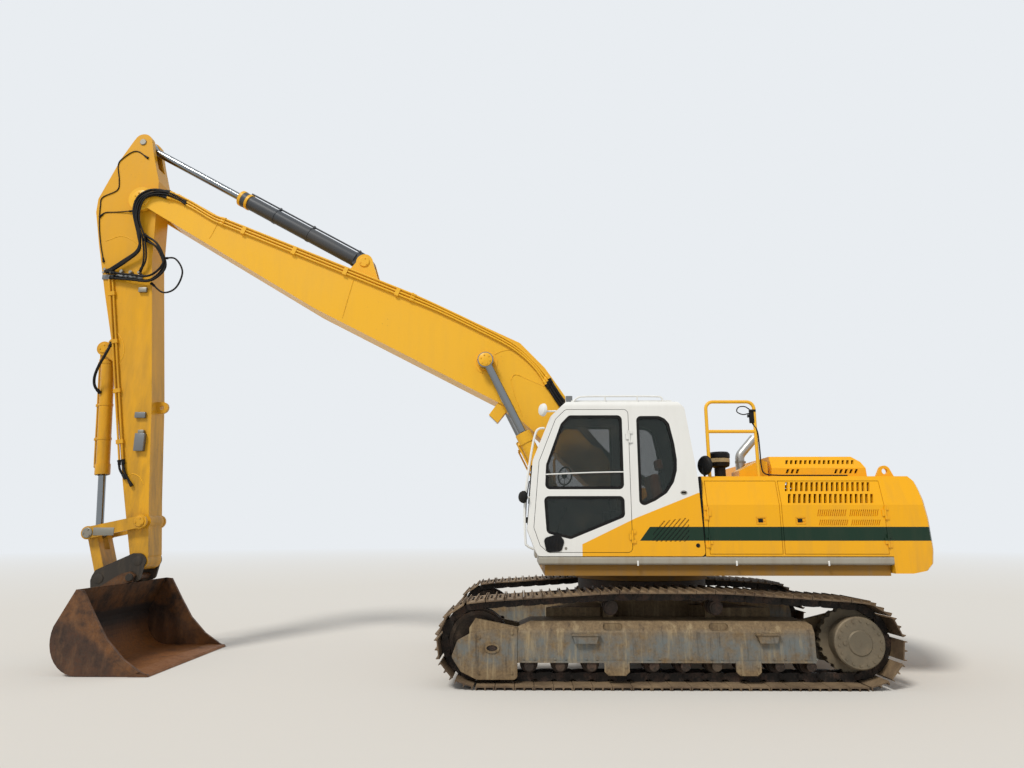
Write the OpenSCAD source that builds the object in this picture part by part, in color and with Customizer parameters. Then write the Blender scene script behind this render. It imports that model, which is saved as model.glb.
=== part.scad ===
// Crawler excavator with a long one-piece boom and a wide ditch-cleaning bucket.
// Millimetres. +X points along the boom, +Y to the cab side, +Z up.
// The origin is on the ground under the swing axis.

/* [Undercarriage] */
// Distance between the centre lines of the two tracks
gauge = 2740; // [2640:10:3000]
// Width of one track shoe
shoe_w = 750; // [600:10:780]
// Distance from the swing axis to each idler and sprocket
axle_x = 2150; // [2050:10:2400]
// Radius of the chain's pin line round the idler and the sprocket
chain_r = 383; // [350:1:420]
// Number of shoes on each track
shoe_count = 51; // [44:1:58]
// Height of the grouser tips over the chain's pin line
grouser_h = 101; // [90:1:115]
// Height of the shoe plate's outer face over the chain's pin line
plate_h = 72; // [66:1:80]
// Depth of the chain's rails inside the pin line
rail_h = 40; // [30:1:50]
// Number of lower rollers on each side
roller_count = 10; // [7:1:10]
// Tread radius of a lower roller
roller_r = 90; // [80:1:100]
// Distance from the swing axis to each carrier roller
carrier_x = 608; // [400:1:800]
// Height of a carrier roller's axis
carrier_z = 846; // [835:1:870]
// Tread radius of a carrier roller
carrier_r = 75; // [60:1:90]
// Width of a track frame
frame_w = 500; // [440:10:560]
// Length of a track frame's box ahead of the swing axis
frame_front = 1690; // [1600:10:1750]
// Length of a track frame's box behind the swing axis
frame_rear = 1660; // [1600:10:1750]
// Height of a track frame's top plate
frame_top = 706; // [680:1:730]

/* [Upper structure] */
// Half of the upper structure's width
half_w = 1500; // [1450:10:1600]
// Height of the underside of the swing frame
deck_low = 1200; // [1180:5:1240]
// Height of the floor that the cab and the housing stand on
floor_z = 1425; // [1400:5:1450]
// Height of the housing's top
house_top = 2365; // [2300:5:2450]
// Top of the raised engine hood
hood_top = 2640; // [2560:5:2700]
// Position of the front edge of the deck
deck_front = 1440; // [1400:10:1500]
// Position of the joint between housing and counterweight
weight_x = -2715; // [-2800:5:-2650]
// Position of the counterweight's rear face at its middle
tail_x = -3650; // [-3800:10:-3450]
// Position of the joint between the two service doors of a side
door_split_x = -1440; // [-1600:5:-1300]
// Thickness of a service door
door_t = 45; // [30:1:60]

/* [Cab] */
// Height of the cab's roof
cab_top = 3285; // [3200:5:3350]
// Inner side of the cab, next to the boom
cab_in_y = 520; // [515:1:600]
// Position of the cab's rear wall
cab_rear_x = -500; // [-520:5:-450]
// Thickness of the cab's walls and of its door
cab_wall = 45; // [35:1:60]
// Thickness of the window glass
glass_t = 6; // [4:1:10]
// Position of the door's hinge line
door_hinge_x = 330; // [300:5:360]

/* [Boom] */
// Half of the boom's width
boom_half = 260; // [240:1:262]
// Boom foot pin, position along the machine
foot_x = 200; // [150:5:250]
// Boom foot pin, height
foot_z = 2050; // [2000:5:2100]
// Radius of the boom foot pin
foot_pin_r = 70; // [55:1:80]
// Boom tip pin, position along the machine
tip_x = 7440; // [7400:5:7480]
// Boom tip pin, height
tip_z = 6680; // [6640:5:6720]
// Radius of the boom tip pin
tip_pin_r = 65; // [50:1:75]
// Thickness of the boom's and stick's plates
plate_t = 22; // [14:1:30]
// Distance of the lift cylinders from the machine's centre plane
lift_y = 385; // [384:1:388]
// Bore radius of the lift cylinders
lift_bore = 82; // [78:1:86]
// Rod radius of the lift cylinders
lift_rod_r = 58; // [50:1:65]

/* [Stick] */
// Half of the stick's width
stick_half = 180; // [165:1:184]
// Bucket pin at the stick's end, position along the machine
bucket_pin_x = 6890; // [6870:5:6910]
// Bucket pin at the stick's end, height
bucket_pin_z = 1310; // [1290:5:1330]
// Radius of the pins at the bucket
end_pin_r = 48; // [40:1:55]
// Rod radius of the stick cylinder
stick_rod_r = 58; // [50:1:65]
// Rod radius of the bucket cylinder
bucket_rod_r = 50; // [40:1:56]

/* [Bucket] */
// Half of the bucket's width
bucket_half = 1100; // [900:10:1250]
// Thickness of the bucket's plates
bucket_t = 30; // [20:1:40]

/* [Hidden] */
$fn = 48;

seat = 0.3;
side_gap = 8;
pin_fit = 0.05;
eps = 1;

// Links of the chain
axle_z = chain_r + grouser_h;
pin_low_z = axle_z - chain_r;
plate_in = 58;
rail_in = 70;
rail_out = 115;
roller_z = pin_low_z + rail_h + roller_r + seat;
frame_low = roller_z + 35;
carrier_sag = 3.3;
carrier_pin_r = carrier_r + rail_h + carrier_sag;
track_y = gauge / 2;
ring_r = 860;
ring_low = 960;
ring_top = 1090;
race_r = 700;

yellow = "#f2b21c";
white = "#eceae2";
grey = "#8d8f8d";
dark = "#2b2c2d";
rust = "#4a3629";
steel = "#c8cacb";
black = "#1b1b1c";
glass_tint = "#8fb0b8";

// Pins of the working arm, each as [x, z] at rest
foot = [foot_x, foot_z];
tip = [tip_x, tip_z];
lift_base = [900, 1600];
lift_top = [2145, 4083];
stick_base = [4000, 5680];
stick_top = [tip_x + 120, tip_z + 1000];
bucket_pin = [bucket_pin_x, bucket_pin_z];
rocker_pin = [bucket_pin_x + 10, bucket_pin_z + 530];
lever_end = [bucket_pin_x + 710, bucket_pin_z + 380];
link_end = [bucket_pin_x + 510, bucket_pin_z - 230];
bucket_base = [7800, 4350];
hook_front = [bucket_pin_x + 60, bucket_pin_z - 210];
hook_rear = [bucket_pin_x + 470, bucket_pin_z - 450];

// Lengths of the cylinders, from eye to gland
lift_len = 1610;
stick_len = 2300;
bucket_len = 1850;

// Extrudes a side view drawn as (x, z) from y0 to y1.
module side_view(y0, y1) {
    translate([0, y1, 0]) rotate([90, 0, 0]) linear_extrude(y1 - y0) children();
}

// Extrudes a front view drawn as (y, z) from x0 to x1.
module end_view(x0, x1) {
    translate([x0, 0, 0]) rotate([90, 0, 90]) linear_extrude(x1 - x0) children();
}

// A round bar across the machine at p = [x, z].
module cross_bar(p, r, y0, y1) {
    translate([p[0], y1, p[1]]) rotate([90, 0, 0]) cylinder(r = r, h = y1 - y0);
}

// Both sides of the machine.
module both_sides() {
    children();
    mirror([0, 1, 0]) children();
}

// Turns local +X to point from a to b, both [x, z], with its start at a.
module along(a, b) {
    translate([a[0], 0, a[1]]) rotate([0, -atan2(b[1] - a[1], b[0] - a[0]), 0]) children();
}

function span(a, b) = norm(b - a);

// Undercarriage

// Upper tangent between idler and carrier roller
carrier_d = [carrier_x - axle_x, carrier_z - axle_z];
lift_angle = atan2(carrier_d[1], carrier_d[0]) - acos((chain_r - carrier_pin_r) / norm(carrier_d));
idler_arc = chain_r * (lift_angle + 90) * PI / 180;
slope_len = sqrt(pow(norm(carrier_d), 2) - pow(chain_r - carrier_pin_r, 2));
carrier_arc = carrier_pin_r * (90 - lift_angle) * PI / 180;
loop_half = axle_x + idler_arc + slope_len + carrier_arc + carrier_x;
pitch = 2 * loop_half / shoe_count;

function on_circle(c, r, a) = [c[0] + r * cos(a), c[1] + r * sin(a)];

// Point of the pin line at distance s from the bottom's middle, front half only
function front_loop(s) =
    s < axle_x ? [s, pin_low_z]
    : s < axle_x + idler_arc
        ? on_circle([axle_x, axle_z], chain_r, (s - axle_x) / chain_r * 180 / PI - 90)
    : s < axle_x + idler_arc + slope_len
        ? on_circle([axle_x, axle_z], chain_r, lift_angle)
            + (s - axle_x - idler_arc) * [-sin(lift_angle), cos(lift_angle)]
    : s < loop_half - carrier_x
        ? on_circle([carrier_x, carrier_z], carrier_pin_r,
            lift_angle + (s - axle_x - idler_arc - slope_len) / carrier_pin_r * 180 / PI)
    : [loop_half - s, carrier_z + carrier_pin_r];

function loop_point(s) =
    s <= loop_half ? front_loop(s)
    : [-front_loop(2 * loop_half - s)[0], front_loop(2 * loop_half - s)[1]];

// One shoe's outer outline with three grousers: columns are share of the pitch, height
shoe_outline = [
    [0, plate_h - 6], [0.03, grouser_h], [0.09, plate_h], [0.45, plate_h],
    [0.5, grouser_h], [0.55, plate_h], [0.90, plate_h], [0.95, grouser_h]
];

// The closed outline that repeats one link's points, [share, height], at every pin
function chain_outline(link) = [
    for (i = [0 : shoe_count - 1])
        let (p = loop_point(i * pitch), q = loop_point((i + 1) * pitch), d = (q - p) / norm(q - p))
            for (k = link) p + d * k[0] * norm(q - p) + [d[1], -d[0]] * k[1]
];

module track() {
    color(rust) translate([0, track_y, 0]) {
        side_view(-shoe_w / 2, shoe_w / 2) difference() {
            polygon(chain_outline(shoe_outline));
            polygon(chain_outline([[0, plate_in]]));
        }
        for (y = [-rail_out, rail_in])
            side_view(y, y + rail_out - rail_in) difference() {
                polygon(chain_outline([[0, plate_in + eps]]));
                polygon(chain_outline([[0, -rail_h]]));
            }
    }
}

// Tread radius that stays inside the straight links on a round wheel
wheel_r = chain_r * cos(asin(pitch / 2 / chain_r)) - rail_h - seat;

module idler() {
    color(rust) translate([axle_x, track_y, axle_z]) rotate([90, 0, 0]) difference() {
        union() {
            translate([0, 0, -rail_out]) cylinder(r = wheel_r, h = 2 * rail_out);
            translate([0, 0, -rail_in + 4]) cylinder(r = wheel_r + 26, h = 2 * rail_in - 8);
            translate([0, 0, -yoke_in + seat]) cylinder(r = 90, h = 2 * (yoke_in - seat));
        }
        for (side = [-1, 1]) translate([0, 0, side * (rail_out + 35)])
            difference() {
                cylinder(r = wheel_r - 45, h = 120, center = true);
                cylinder(r = 120, h = 200, center = true);
            }
    }
}

yoke_in = frame_w / 2 - 60;
tooth_count = 22;

module sprocket() {
    color(rust) translate([-axle_x, track_y, axle_z]) rotate([90, 0, 0]) {
        difference() {
            translate([0, 0, -rail_in + 18]) cylinder(r = chain_r - 18, h = 2 * rail_in - 36);
            for (i = [0 : tooth_count - 1]) rotate(i * 360 / tooth_count)
                translate([chain_r - 6, 0, 0]) cylinder(r = 34, h = 3 * rail_in, center = true);
        }
        // Final drive with its wide cover
        translate([0, 0, -frame_w / 2]) rotate_extrude() polygon([
            [0, -45], [128, -45], [140, -32], [272, -32], [285, -20], [285, 26], [262, 26],
            [262, frame_w / 2 + yoke_in - seat], [0, frame_w / 2 + yoke_in - seat]
        ]);
    }
}

// Lower rollers spread evenly under the frame
roller_first = -1600;
roller_last = 1564;

module roller(r, half) {
    rotate([90, 0, 0]) {
        translate([0, 0, -half]) cylinder(r = r - 22, h = 2 * half);
        for (side = [-1, 1]) translate([0, 0, side * (rail_in + rail_out) / 2])
            cylinder(r = r, h = rail_out - rail_in, center = true);
        for (side = [-1, 1]) translate([0, 0, side * (rail_in - 12)])
            cylinder(r = r + 14, h = 16, center = true);
    }
}

module rollers() {
    color(rust) translate([0, track_y, 0]) {
        for (i = [0 : roller_count - 1])
            translate([roller_first + i * (roller_last - roller_first) / (roller_count - 1), 0, roller_z]) {
                roller(roller_r, rail_out + 12);
                rotate([90, 0, 0]) cylinder(r = 28, h = frame_w - 6, center = true);
                for (side = [-1, 1]) translate([0, side * (frame_w / 2 - 46), 0]) side_view(-42, 42)
                    intersection() {
                        circle(r = 54);
                        translate([-60, -60]) square([120, 60 + frame_low - roller_z - seat]);
                    }
            }
        for (x = [-carrier_x, carrier_x]) translate([x, 0, carrier_z]) {
            roller(carrier_r, rail_out + 12);
            rotate([90, 0, 0]) cylinder(r = 30, h = 160 - seat);
        }
    }
}

// Footsteps: middle along X, top, depth and half length of each
step_boxes = [[925, 575, 62, 150], [-1125, 580, 55, 125]];
shoulder_z = frame_top - 115;
guard_low = pin_low_z + plate_h / 2;

// One track frame: box over the rollers, idler yoke, final-drive plate and fittings
module track_frame() {
    color(rust) translate([0, track_y, 0]) {
        difference() {
            union() {
                side_view(-frame_w / 2, frame_w / 2) polygon([
                    [-frame_rear, frame_low], [frame_front, frame_low], [frame_front, frame_top - 60],
                    [frame_front - 140, frame_top], [-frame_rear + 60, frame_top],
                    [-frame_rear, frame_top - 40]
                ]);
                both_sides() side_view(yoke_in, frame_w / 2) difference() {
                    polygon([
                        [frame_front - eps, frame_low], [frame_front + 120, 150], [axle_x + 60, 150],
                        [axle_x + 90, 300], [axle_x + 90, 640], [axle_x + 20, 745],
                        [frame_front - eps, frame_top - 60]
                    ]);
                    translate([axle_x, axle_z]) circle(r = 55);
                }
                side_view(-frame_w / 2, -yoke_in) {
                    translate([-axle_x, axle_z]) circle(r = 300);
                    polygon([
                        [-frame_rear + eps, frame_low], [-frame_rear + eps, frame_top - 40],
                        [-axle_x, axle_z + 300], [-axle_x, axle_z - 300]
                    ]);
                }
            }
            translate([-frame_rear - 200, -frame_w / 2 + 95, frame_low - eps])
                cube([frame_rear + frame_front + 400, frame_w - 190, frame_top - frame_low - 50]);
            end_view(-frame_rear - eps, frame_front + eps) polygon([
                [frame_w / 2 - 80, frame_top + eps], [frame_w / 2 + eps, frame_top + eps],
                [frame_w / 2 + eps, shoulder_z]
            ]);
            for (x = [-carrier_x + 12, carrier_x]) side_view(frame_w / 2 - 70, frame_w / 2 + eps)
                translate([x, frame_top - 60]) offset(r = 36) square([150, 4], center = true);
            side_view(-frame_w, frame_w) translate([1968, 418]) offset(r = 30) square([70, 4], center = true);
        }
        for (x = [-carrier_x, carrier_x]) translate([x - 60, -220, frame_top - eps])
            cube([120, 60, carrier_z + 55 - frame_top + eps]);
        for (x = [579, -890]) side_view(frame_w / 2 - eps, frame_w / 2 + 24) polygon([
            [x - 140, frame_low + 24], [x + 140, frame_low + 24], [x + 140, guard_low + 40],
            [x + 100, guard_low], [x - 100, guard_low], [x - 140, guard_low + 40]
        ]);
        for (b = step_boxes) {
            side_view(frame_w / 2 - eps, frame_w / 2 + b[2]) polygon([
                [b[0] - b[3], b[1]], [b[0] + b[3], b[1]],
                [b[0] + b[3] - 30, b[1] - 95], [b[0] - b[3] + 30, b[1] - 95]
            ]);
            translate([b[0] - b[3] - 12, frame_w / 2 - eps, b[1] - 10]) cube([2 * b[3] + 24, b[2] + 14, 18]);
        }
        both_sides() end_view(-frame_rear + 20, frame_front - 20)
            translate([frame_w / 2 - eps, frame_low + 4]) square([16, 20]);
    }
}

module centre_frame() {
    color(rust) difference() {
        union() {
            translate([0, 0, 500]) cylinder(r = ring_r + 20, h = ring_low - 500);
            for (mx = [0, 1], my = [0, 1]) mirror([mx, 0, 0]) mirror([0, my, 0])
                translate([0, 0, 430]) linear_extrude(380) polygon([
                    [0, 400], [0, 200], [650, 100], [1350, gauge / 2 - frame_w / 2],
                    [700, gauge / 2 - frame_w / 2], [420, 700]
                ]);
        }
        translate([0, 0, 620]) cylinder(r = race_r - 60, h = ring_low);
        translate([0, 0, 400]) cylinder(r = 220, h = 500);
        for (mx = [0, 1], my = [0, 1]) mirror([mx, 0, 0]) mirror([0, my, 0])
            translate([0, 0, 460]) linear_extrude(320) polygon([
                [760, 420], [1240, gauge / 2 - frame_w / 2 - 60],
                [800, gauge / 2 - frame_w / 2 - 60], [620, 760]
            ]);
    }
}

module slew_ring() {
    color(dark) translate([0, 0, ring_low]) difference() {
        cylinder(r = ring_r, h = ring_top - ring_low, $fn = 96);
        translate([0, 0, -eps]) cylinder(r = race_r + 0.8, h = ring_top, $fn = 96);
    }
}

// Upper structure

// Ends of the raised hood and of the housing, and the hood's hinge
hood_front_x = -1530;
hood_rear_x = -2620;
hood_half = half_w - 380;
hood_pin_r = 14;
hood_hinge_x = hood_rear_x - 80;
hood_hinge_y = 800;
hood_hinge_z = house_top + 24;
hood_knuckle = 40;
house_front_x = cab_rear_x - 26;
house_floor = 20;
leaf_w = 40;
crease_z = 2020;
lean = 90;
door_low = floor_z + 22;
door_high = house_top - 55;
door_gap = 6;

// Service doors of one side: columns are front edge, rear edge, hinge edge
front_edge = house_front_x - leaf_w - 4;
rear_edge = weight_x + 46;
service_doors = [
    [front_edge, door_split_x + 10, front_edge],
    [door_split_x - 10, rear_edge, rear_edge]
];

beam_in = boom_half + side_gap;
beam_out = lift_y - 55;
ear_in = lift_y + 55;
ear_out = cab_in_y - 35;

module swing_frame() {
    color(grey) {
        // Skirt, deck plate and the race that turns in the slew ring
        difference() {
            translate([weight_x + 20, -half_w + 70, deck_low])
                cube([deck_front - weight_x - 90, 2 * half_w - 140, floor_z - 100 - deck_low]);
            translate([weight_x + 50, -half_w + 100, deck_low - eps])
                cube([deck_front - weight_x - 150, 2 * half_w - 200, floor_z - 124 - deck_low]);
        }
        difference() {
            union() {
                translate([0, 0, ring_low + 20]) cylinder(r = race_r, h = deck_low - ring_low, $fn = 96);
                translate([0, 0, ring_top + side_gap]) cylinder(r = ring_r + 30, h = 130, $fn = 96);
            }
            translate([0, 0, ring_low]) cylinder(r = race_r - 110, h = 240 + 20);
        }
        for (side = [-1, 1]) for (x = [-330, 1180], y = [cab_in_y + 90, half_w - 150])
            translate([x, side * y, floor_z - 101]) cylinder(r = 60, h = 101);
    }
    // Main beams that rise into the ears of the boom foot and of the lift cylinders
    color(yellow) both_sides() {
        side_view(beam_in, beam_out) {
            polygon([
                [weight_x + 20, deck_low + 20], [deck_front - 90, deck_low + 20],
                [deck_front - 90, floor_z - 40],
                [lift_base[0] + 120, lift_base[1] - 60], [lift_base[0] - 110, lift_base[1] + 100],
                [foot_x + 150, foot_z + 60], [foot_x - 150, foot_z + 60],
                [house_front_x + 12, floor_z], [weight_x + 20, floor_z]
            ]);
            translate(foot) circle(r = 165);
            translate(lift_base) circle(r = 140);
        }
        side_view(ear_in, ear_out) {
            polygon([
                [lift_base[0] - 230, deck_low + 100], [lift_base[0] + 230, deck_low + 100],
                [lift_base[0] + 125, lift_base[1]], [lift_base[0] - 125, lift_base[1]]
            ]);
            translate(lift_base) circle(r = 125);
        }
        cross_bar(lift_base, 55, beam_in, ear_out);
        translate([weight_x + 20, -1, deck_low + 60]) cube([120, beam_in + 2, floor_z - deck_low - 90]);
    }
    color(steel) cross_bar(foot, foot_pin_r, -beam_out, beam_out);
}

// Outer face of the housing and its doors at height z: upright, and leaning in above the crease
function side_y(z) = half_w - max(0, z - crease_z) * lean / (house_top - crease_z);

// Front view of the housing from z0 to z1, its sides taken in by t
module house_section(t, z0, z1) {
    polygon([
        [t - half_w, z0], [half_w - t, z0], [half_w - t, crease_z], [side_y(z1) - t, z1],
        [t - side_y(z1), z1], [t - half_w, crease_z]
    ]);
}

// Half profile of the counterweight, columns are distance from the middle of its round back, and height
tail_r = 2600;
tail_profile = [
    [0, deck_low + 30], [tail_r - 200, deck_low + 30], [tail_r - 80, deck_low + 60],
    [tail_r - 20, deck_low + 140], [tail_r, deck_low + 300], [tail_r - 14, crease_z - 160],
    [tail_r - 44, crease_z + 60], [tail_r - 84, crease_z + 200], [tail_r - 118, crease_z + 290],
    [tail_r - 170, house_top], [0, house_top]
];

// Cast counterweight with a round back, whose sides carry on the housing's
module counterweight() {
    color(yellow) intersection() {
        translate([tail_x + tail_r, 0, 0]) rotate_extrude($fn = 120) polygon(tail_profile);
        end_view(tail_x - 50, weight_x) house_section(0, deck_low, house_top);
    }
}

eye_x = weight_x - 120;
eye_y = hood_half + 140;
eye_bore = 35;
eye_t = 40;

// Two eyes that the counterweight is lifted by
module lifting_eyes() {
    color(yellow) translate([eye_x, 0, house_top + seat]) both_sides()
        side_view(eye_y - eye_t / 2, eye_y + eye_t / 2) difference() {
            hull() {
                translate([0, 2 * eye_bore]) circle(r = 2 * eye_bore);
                translate([-3 * eye_bore, 0]) square([6 * eye_bore, 12]);
            }
            translate([0, 2 * eye_bore]) circle(r = eye_bore);
        }
}

module engine_block() {
    ends = [weight_x + 155, hood_front_x + 90];
    half = half_w - 1020;
    color(dark) translate([ends[0], -half, floor_z + house_floor + seat])
        cube([ends[1] - ends[0], 2 * half, 760]);
}

// Hollow housing behind the cab, open at its service doors and under the hood
module house_frame() {
    color(yellow) difference() {
        end_view(weight_x + seat, house_front_x) house_section(0, floor_z, house_top);
        end_view(weight_x + 30, house_front_x - 30)
            house_section(60, floor_z + house_floor, house_top - house_floor);
        for (d = service_doors) both_sides() door_opening(d);
        translate([hood_rear_x, -hood_half, house_top - 100])
            cube([hood_front_x - hood_rear_x, 2 * hood_half, 200]);
    }
    color(yellow) both_sides() {
        fixed_hinges(service_doors[0][2], service_hinges, 1);
        fixed_hinges(service_doors[1][2], service_hinges, -1);
    }
    // Brackets and rests of the engine hood
    color(yellow) both_sides() {
        for (y = [hood_hinge_y - hood_knuckle - hinge_play, hood_hinge_y + 60 + hinge_play]) {
            translate([hood_hinge_x - hood_pin_r, y, house_top - eps])
                cube([2 * hood_pin_r, hood_knuckle, hood_hinge_z - house_top + eps]);
            cross_bar([hood_hinge_x, hood_hinge_z], hood_pin_r, y, y + hood_knuckle);
        }
        translate([hood_front_x + 10, hood_half - 200, house_top - eps])
            cube([20, 80, side_gap + eps - seat]);
    }
    // Sloping cover in front of the hood
    color(yellow) side_view(hood_half - 320, hood_half) polygon([
        [hood_front_x + 70, house_top - eps], [hood_front_x + 70, house_top + 200],
        [hood_front_x + 150, house_top + 230], [hood_front_x + 430, house_top + 90],
        [hood_front_x + 430, house_top - eps]
    ]);
}

module door_opening(d) {
    translate([d[1], half_w - 220, door_low]) cube([d[0] - d[1], 230, door_high - door_low]);
}

hinge_r = 11;
hinge_y = half_w + hinge_r + 1;
hinge_h = 70;
hinge_play = 0.5;

// One hinge knuckle on a door's outer face: the post at x turns about z
module knuckle(x, y, z, h) {
    translate([x, y, z]) cylinder(r = hinge_r, h = h);
}

// Leaf that ties a knuckle to a panel that lies on the side "away" of it along X
module leaf(x, y_in, z, h, away) {
    translate([away > 0 ? x : x - leaf_w, y_in, z]) cube([leaf_w, hinge_y - y_in, h]);
}

// Heights of the hinges of a service door and of the cab door
service_hinges = [door_low + 120, crease_z - 60 - hinge_h];
cab_hinges = [floor_z + 190, floor_z + 1380];

// Air slots of a rear door and of the hood, as [first x, last x, low z, high z, count]
door_slots = [[-1565, -2545, 2041, 2150, 17], [-1555, -2535, 2183, 2292, 17]];
hood_slots = [[-1720, -2545, 2540, 2592, 15], [-1700, -1824, 2420, 2473, 3], [-2305, -2555, 2420, 2473, 5]];
// Fields of fine louvres in a rear door, as [first x, last x, low z, high z, count]
louvres = [
    [-1875, -2195, 1887, 1965, 14], [-2255, -2575, 1887, 1965, 14],
    [-1885, -2205, 1780, 1846, 14], [-2265, -2585, 1780, 1846, 14]
];
slot_w = 32;
slot_slant = 22;

// A row of upright slots whose tops lean to the rear
module slot_row(row, width) {
    step = (row[1] - row[0]) / (row[4] - 1);
    for (i = [0 : row[4] - 1]) translate([row[0] + i * step, 0])
        polygon([[0, row[2]], [width, row[2]], [width - slot_slant, row[3]], [-slot_slant, row[3]]]);
}

// One service door; the rear one is slotted and louvred
module service_door(d) {
    away = d[2] == d[0] ? -1 : 1;
    hinge_x = d[2];
    low = door_low + door_gap;
    high = door_high - door_gap;
    color(yellow) {
        difference() {
            end_view(d[1] + door_gap, d[0] - door_gap) polygon([
                [half_w - door_t, low], [half_w, low], [half_w, crease_z], [side_y(high), high],
                [side_y(high) - door_t, high], [half_w - door_t, crease_z]
            ]);
            if (away > 0) side_view(half_w - 220, half_w + eps) for (row = door_slots) slot_row(row, slot_w);
            if (away > 0) side_view(half_w - 14, half_w + eps) for (row = louvres) slot_row(row, 11);
            side_view(half_w - 5, half_w + eps) translate([latch_x(d), latch_z])
                square([120, 85], center = true);
        }
        for (z = service_hinges) {
            knuckle(hinge_x, hinge_y, z, hinge_h);
            leaf(hinge_x, half_w - 1, z, hinge_h, away);
        }
    }
}

// Middle of a door's latch recess
latch_z = 1835;
function latch_x(d) = d[2] == d[0] ? d[1] + 230 : d[0] - 215;

// The fixed half of each hinge, above and below the turning one
module fixed_hinges(x, heights, away) {
    for (z = heights, k = [-1, 1]) {
        knuckle(x, hinge_y, k < 0 ? z - 40 - hinge_play : z + hinge_h + hinge_play, 40);
        leaf(x, half_w - 1, k < 0 ? z - 40 - hinge_play : z + hinge_h + hinge_play, 40, away);
    }
}

module engine_hood() {
    color(yellow) both_sides() {
        cross_bar([hood_hinge_x, hood_hinge_z], hood_pin_r, hood_hinge_y, hood_hinge_y + 60);
        translate([hood_hinge_x, hood_hinge_y, house_top + side_gap + 2]) cube([60, 60, 20]);
    }
    color(yellow) difference() {
        hood_form(0);
        hood_form(hood_skin);
        for (row = hood_slots) side_view(-half_w, half_w) slot_row(row, slot_w);
    }
}

hood_skin = 25;
hood_wall = 115;

// The raised hood's outer form, taken in by t: upright low walls and sloping sides above them
module hood_form(t) {
    low = house_top + side_gap - (t > 0 ? eps : 0);
    knee = house_top + side_gap + hood_wall - t / 2;
    intersection() {
        side_view(-half_w, half_w) polygon([
            [hood_rear_x - 60 + t, low], [hood_front_x + 40 - t, low], [hood_front_x + 20 - t, hood_top - t],
            [hood_rear_x + 70 + t, hood_top - t], [hood_rear_x - 20 + t, hood_top - 70 - t / 2],
            [hood_rear_x - 52 + t, knee]
        ]);
        end_view(hood_rear_x - 200, hood_front_x + 200) polygon([
            [-hood_half - 30 + t, low], [hood_half + 30 - t, low], [hood_half + 30 - t, knee],
            [hood_half - 75 - t, hood_top - t], [75 + t - hood_half, hood_top - t], [-hood_half - 30 + t, knee]
        ]);
    }
}

// Fuel tank beside the boom and the lower box in front of it
tank_x = cab_rear_x + 980;
box_len = 700;
box_w = 520;
box_h = 420;

module fuel_tank() {
    color(yellow) {
        intersection() {
            end_view(cab_rear_x, tank_x) house_section(0, floor_z, house_top - 20);
            translate([cab_rear_x, -half_w, floor_z])
                cube([tank_x - cab_rear_x, half_w - cab_in_y - 20, house_top]);
        }
        end_view(tank_x + seat, tank_x + box_len) offset(r = 40) offset(delta = -40)
            translate([-half_w, floor_z]) square([box_w, box_h]);
        translate([tank_x / 2, -half_w + 260, house_top - 20 - eps]) cylinder(r = 70, h = 60);
    }
}

module walkways() {
    color(grey) {
        both_sides() end_view(weight_x + seat, deck_front) offset(r = 30) offset(delta = -30)
            translate([half_w - 70, floor_z - 100]) square([70, 100]);
        both_sides() translate([deck_front - 70, cab_in_y, floor_z - 100])
            cube([70, half_w - cab_in_y - 70, 100]);
    }
}

// Cab

// Front edge of the cab, columns are z, x
cab_front = [[floor_z + 310, 1575], [2555, 1505], [3090, 1285], [cab_top, 1080]];

// Side outline of the cab, columns are x, z
cab_side = concat(
    [[cab_rear_x - 20, floor_z], [deck_front + 10, floor_z], [1480, floor_z + 65]],
    [for (p = cab_front) [p[1], p[0]]],
    [[-280, cab_top], [-362, cab_top - 92], [-480, 2340]]
);

// Outline of the door's opening
door_side = [
    [door_hinge_x, floor_z + 40], [1330, floor_z + 40], [1425, floor_z + 120], [1500, floor_z + 330],
    [1432, 2540], [1225, 3060], [1100, 3180], [door_hinge_x, 3180]
];
door_window = [[410, 2205], [1360, 2205], [1345, 2500], [1160, 3000], [1060, 3105], [410, 3105]];
door_low_window = [[410, 1880], [1060, 1620], [1345, 1690], [1375, 2125], [410, 2125]];
rear_side_window = [
    [235, 1985], [40, 2070], [-100, 2160], [-190, 2290], [-232, 2430], [-238, 2560],
    [-215, 2760], [-165, 3000], [-110, 3065], [-40, 3095], [235, 3095]
];

module rounded(points, r) {
    offset(r = r) offset(delta = -r) polygon(points);
}

// The cab's outer form, with its roof's long edges rounded
module cab_solid() {
    intersection() {
        side_view(cab_in_y, half_w) rounded(cab_side, 50);
        end_view(cab_rear_x - 200, 1800) offset(r = roof_round) offset(delta = -roof_round)
            translate([cab_in_y, floor_z - 300]) square([half_w - cab_in_y, cab_top + 300 - floor_z]);
    }
}

roof_round = 70;
drip_h = 22;

// Slanting grooves of the air intake in the cab's rear lower corner
groove_field = [[95, 1592], [-335, 1592], [-345, 1850], [-300, 1868], [75, 1815]];

module intake_grooves() {
    side_view(half_w - 12, half_w + eps) intersection() {
        polygon(groove_field);
        for (i = [0 : 8]) translate([200 - i * 55, 1560]) rotate(42 + 90) square([420, 14]);
    }
}

module windscreen_cut(grow) {
    translate([1000, cab_in_y + 90 - grow, 1790 - grow])
        cube([800, half_w - cab_in_y - 180 + 2 * grow, 3060 - 1790 + 2 * grow]);
}

module rear_window_cut(grow) {
    translate([-800, cab_in_y + 110 - grow, 2420 - grow])
        cube([700, half_w - cab_in_y - 220 + 2 * grow, 640 + 2 * grow]);
}

module roof_hatch_cut(grow) {
    translate([100 - grow, cab_in_y + 170 - grow, cab_top - 200])
        cube([700 + 2 * grow, half_w - cab_in_y - 340 + 2 * grow, 400]);
}

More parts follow.
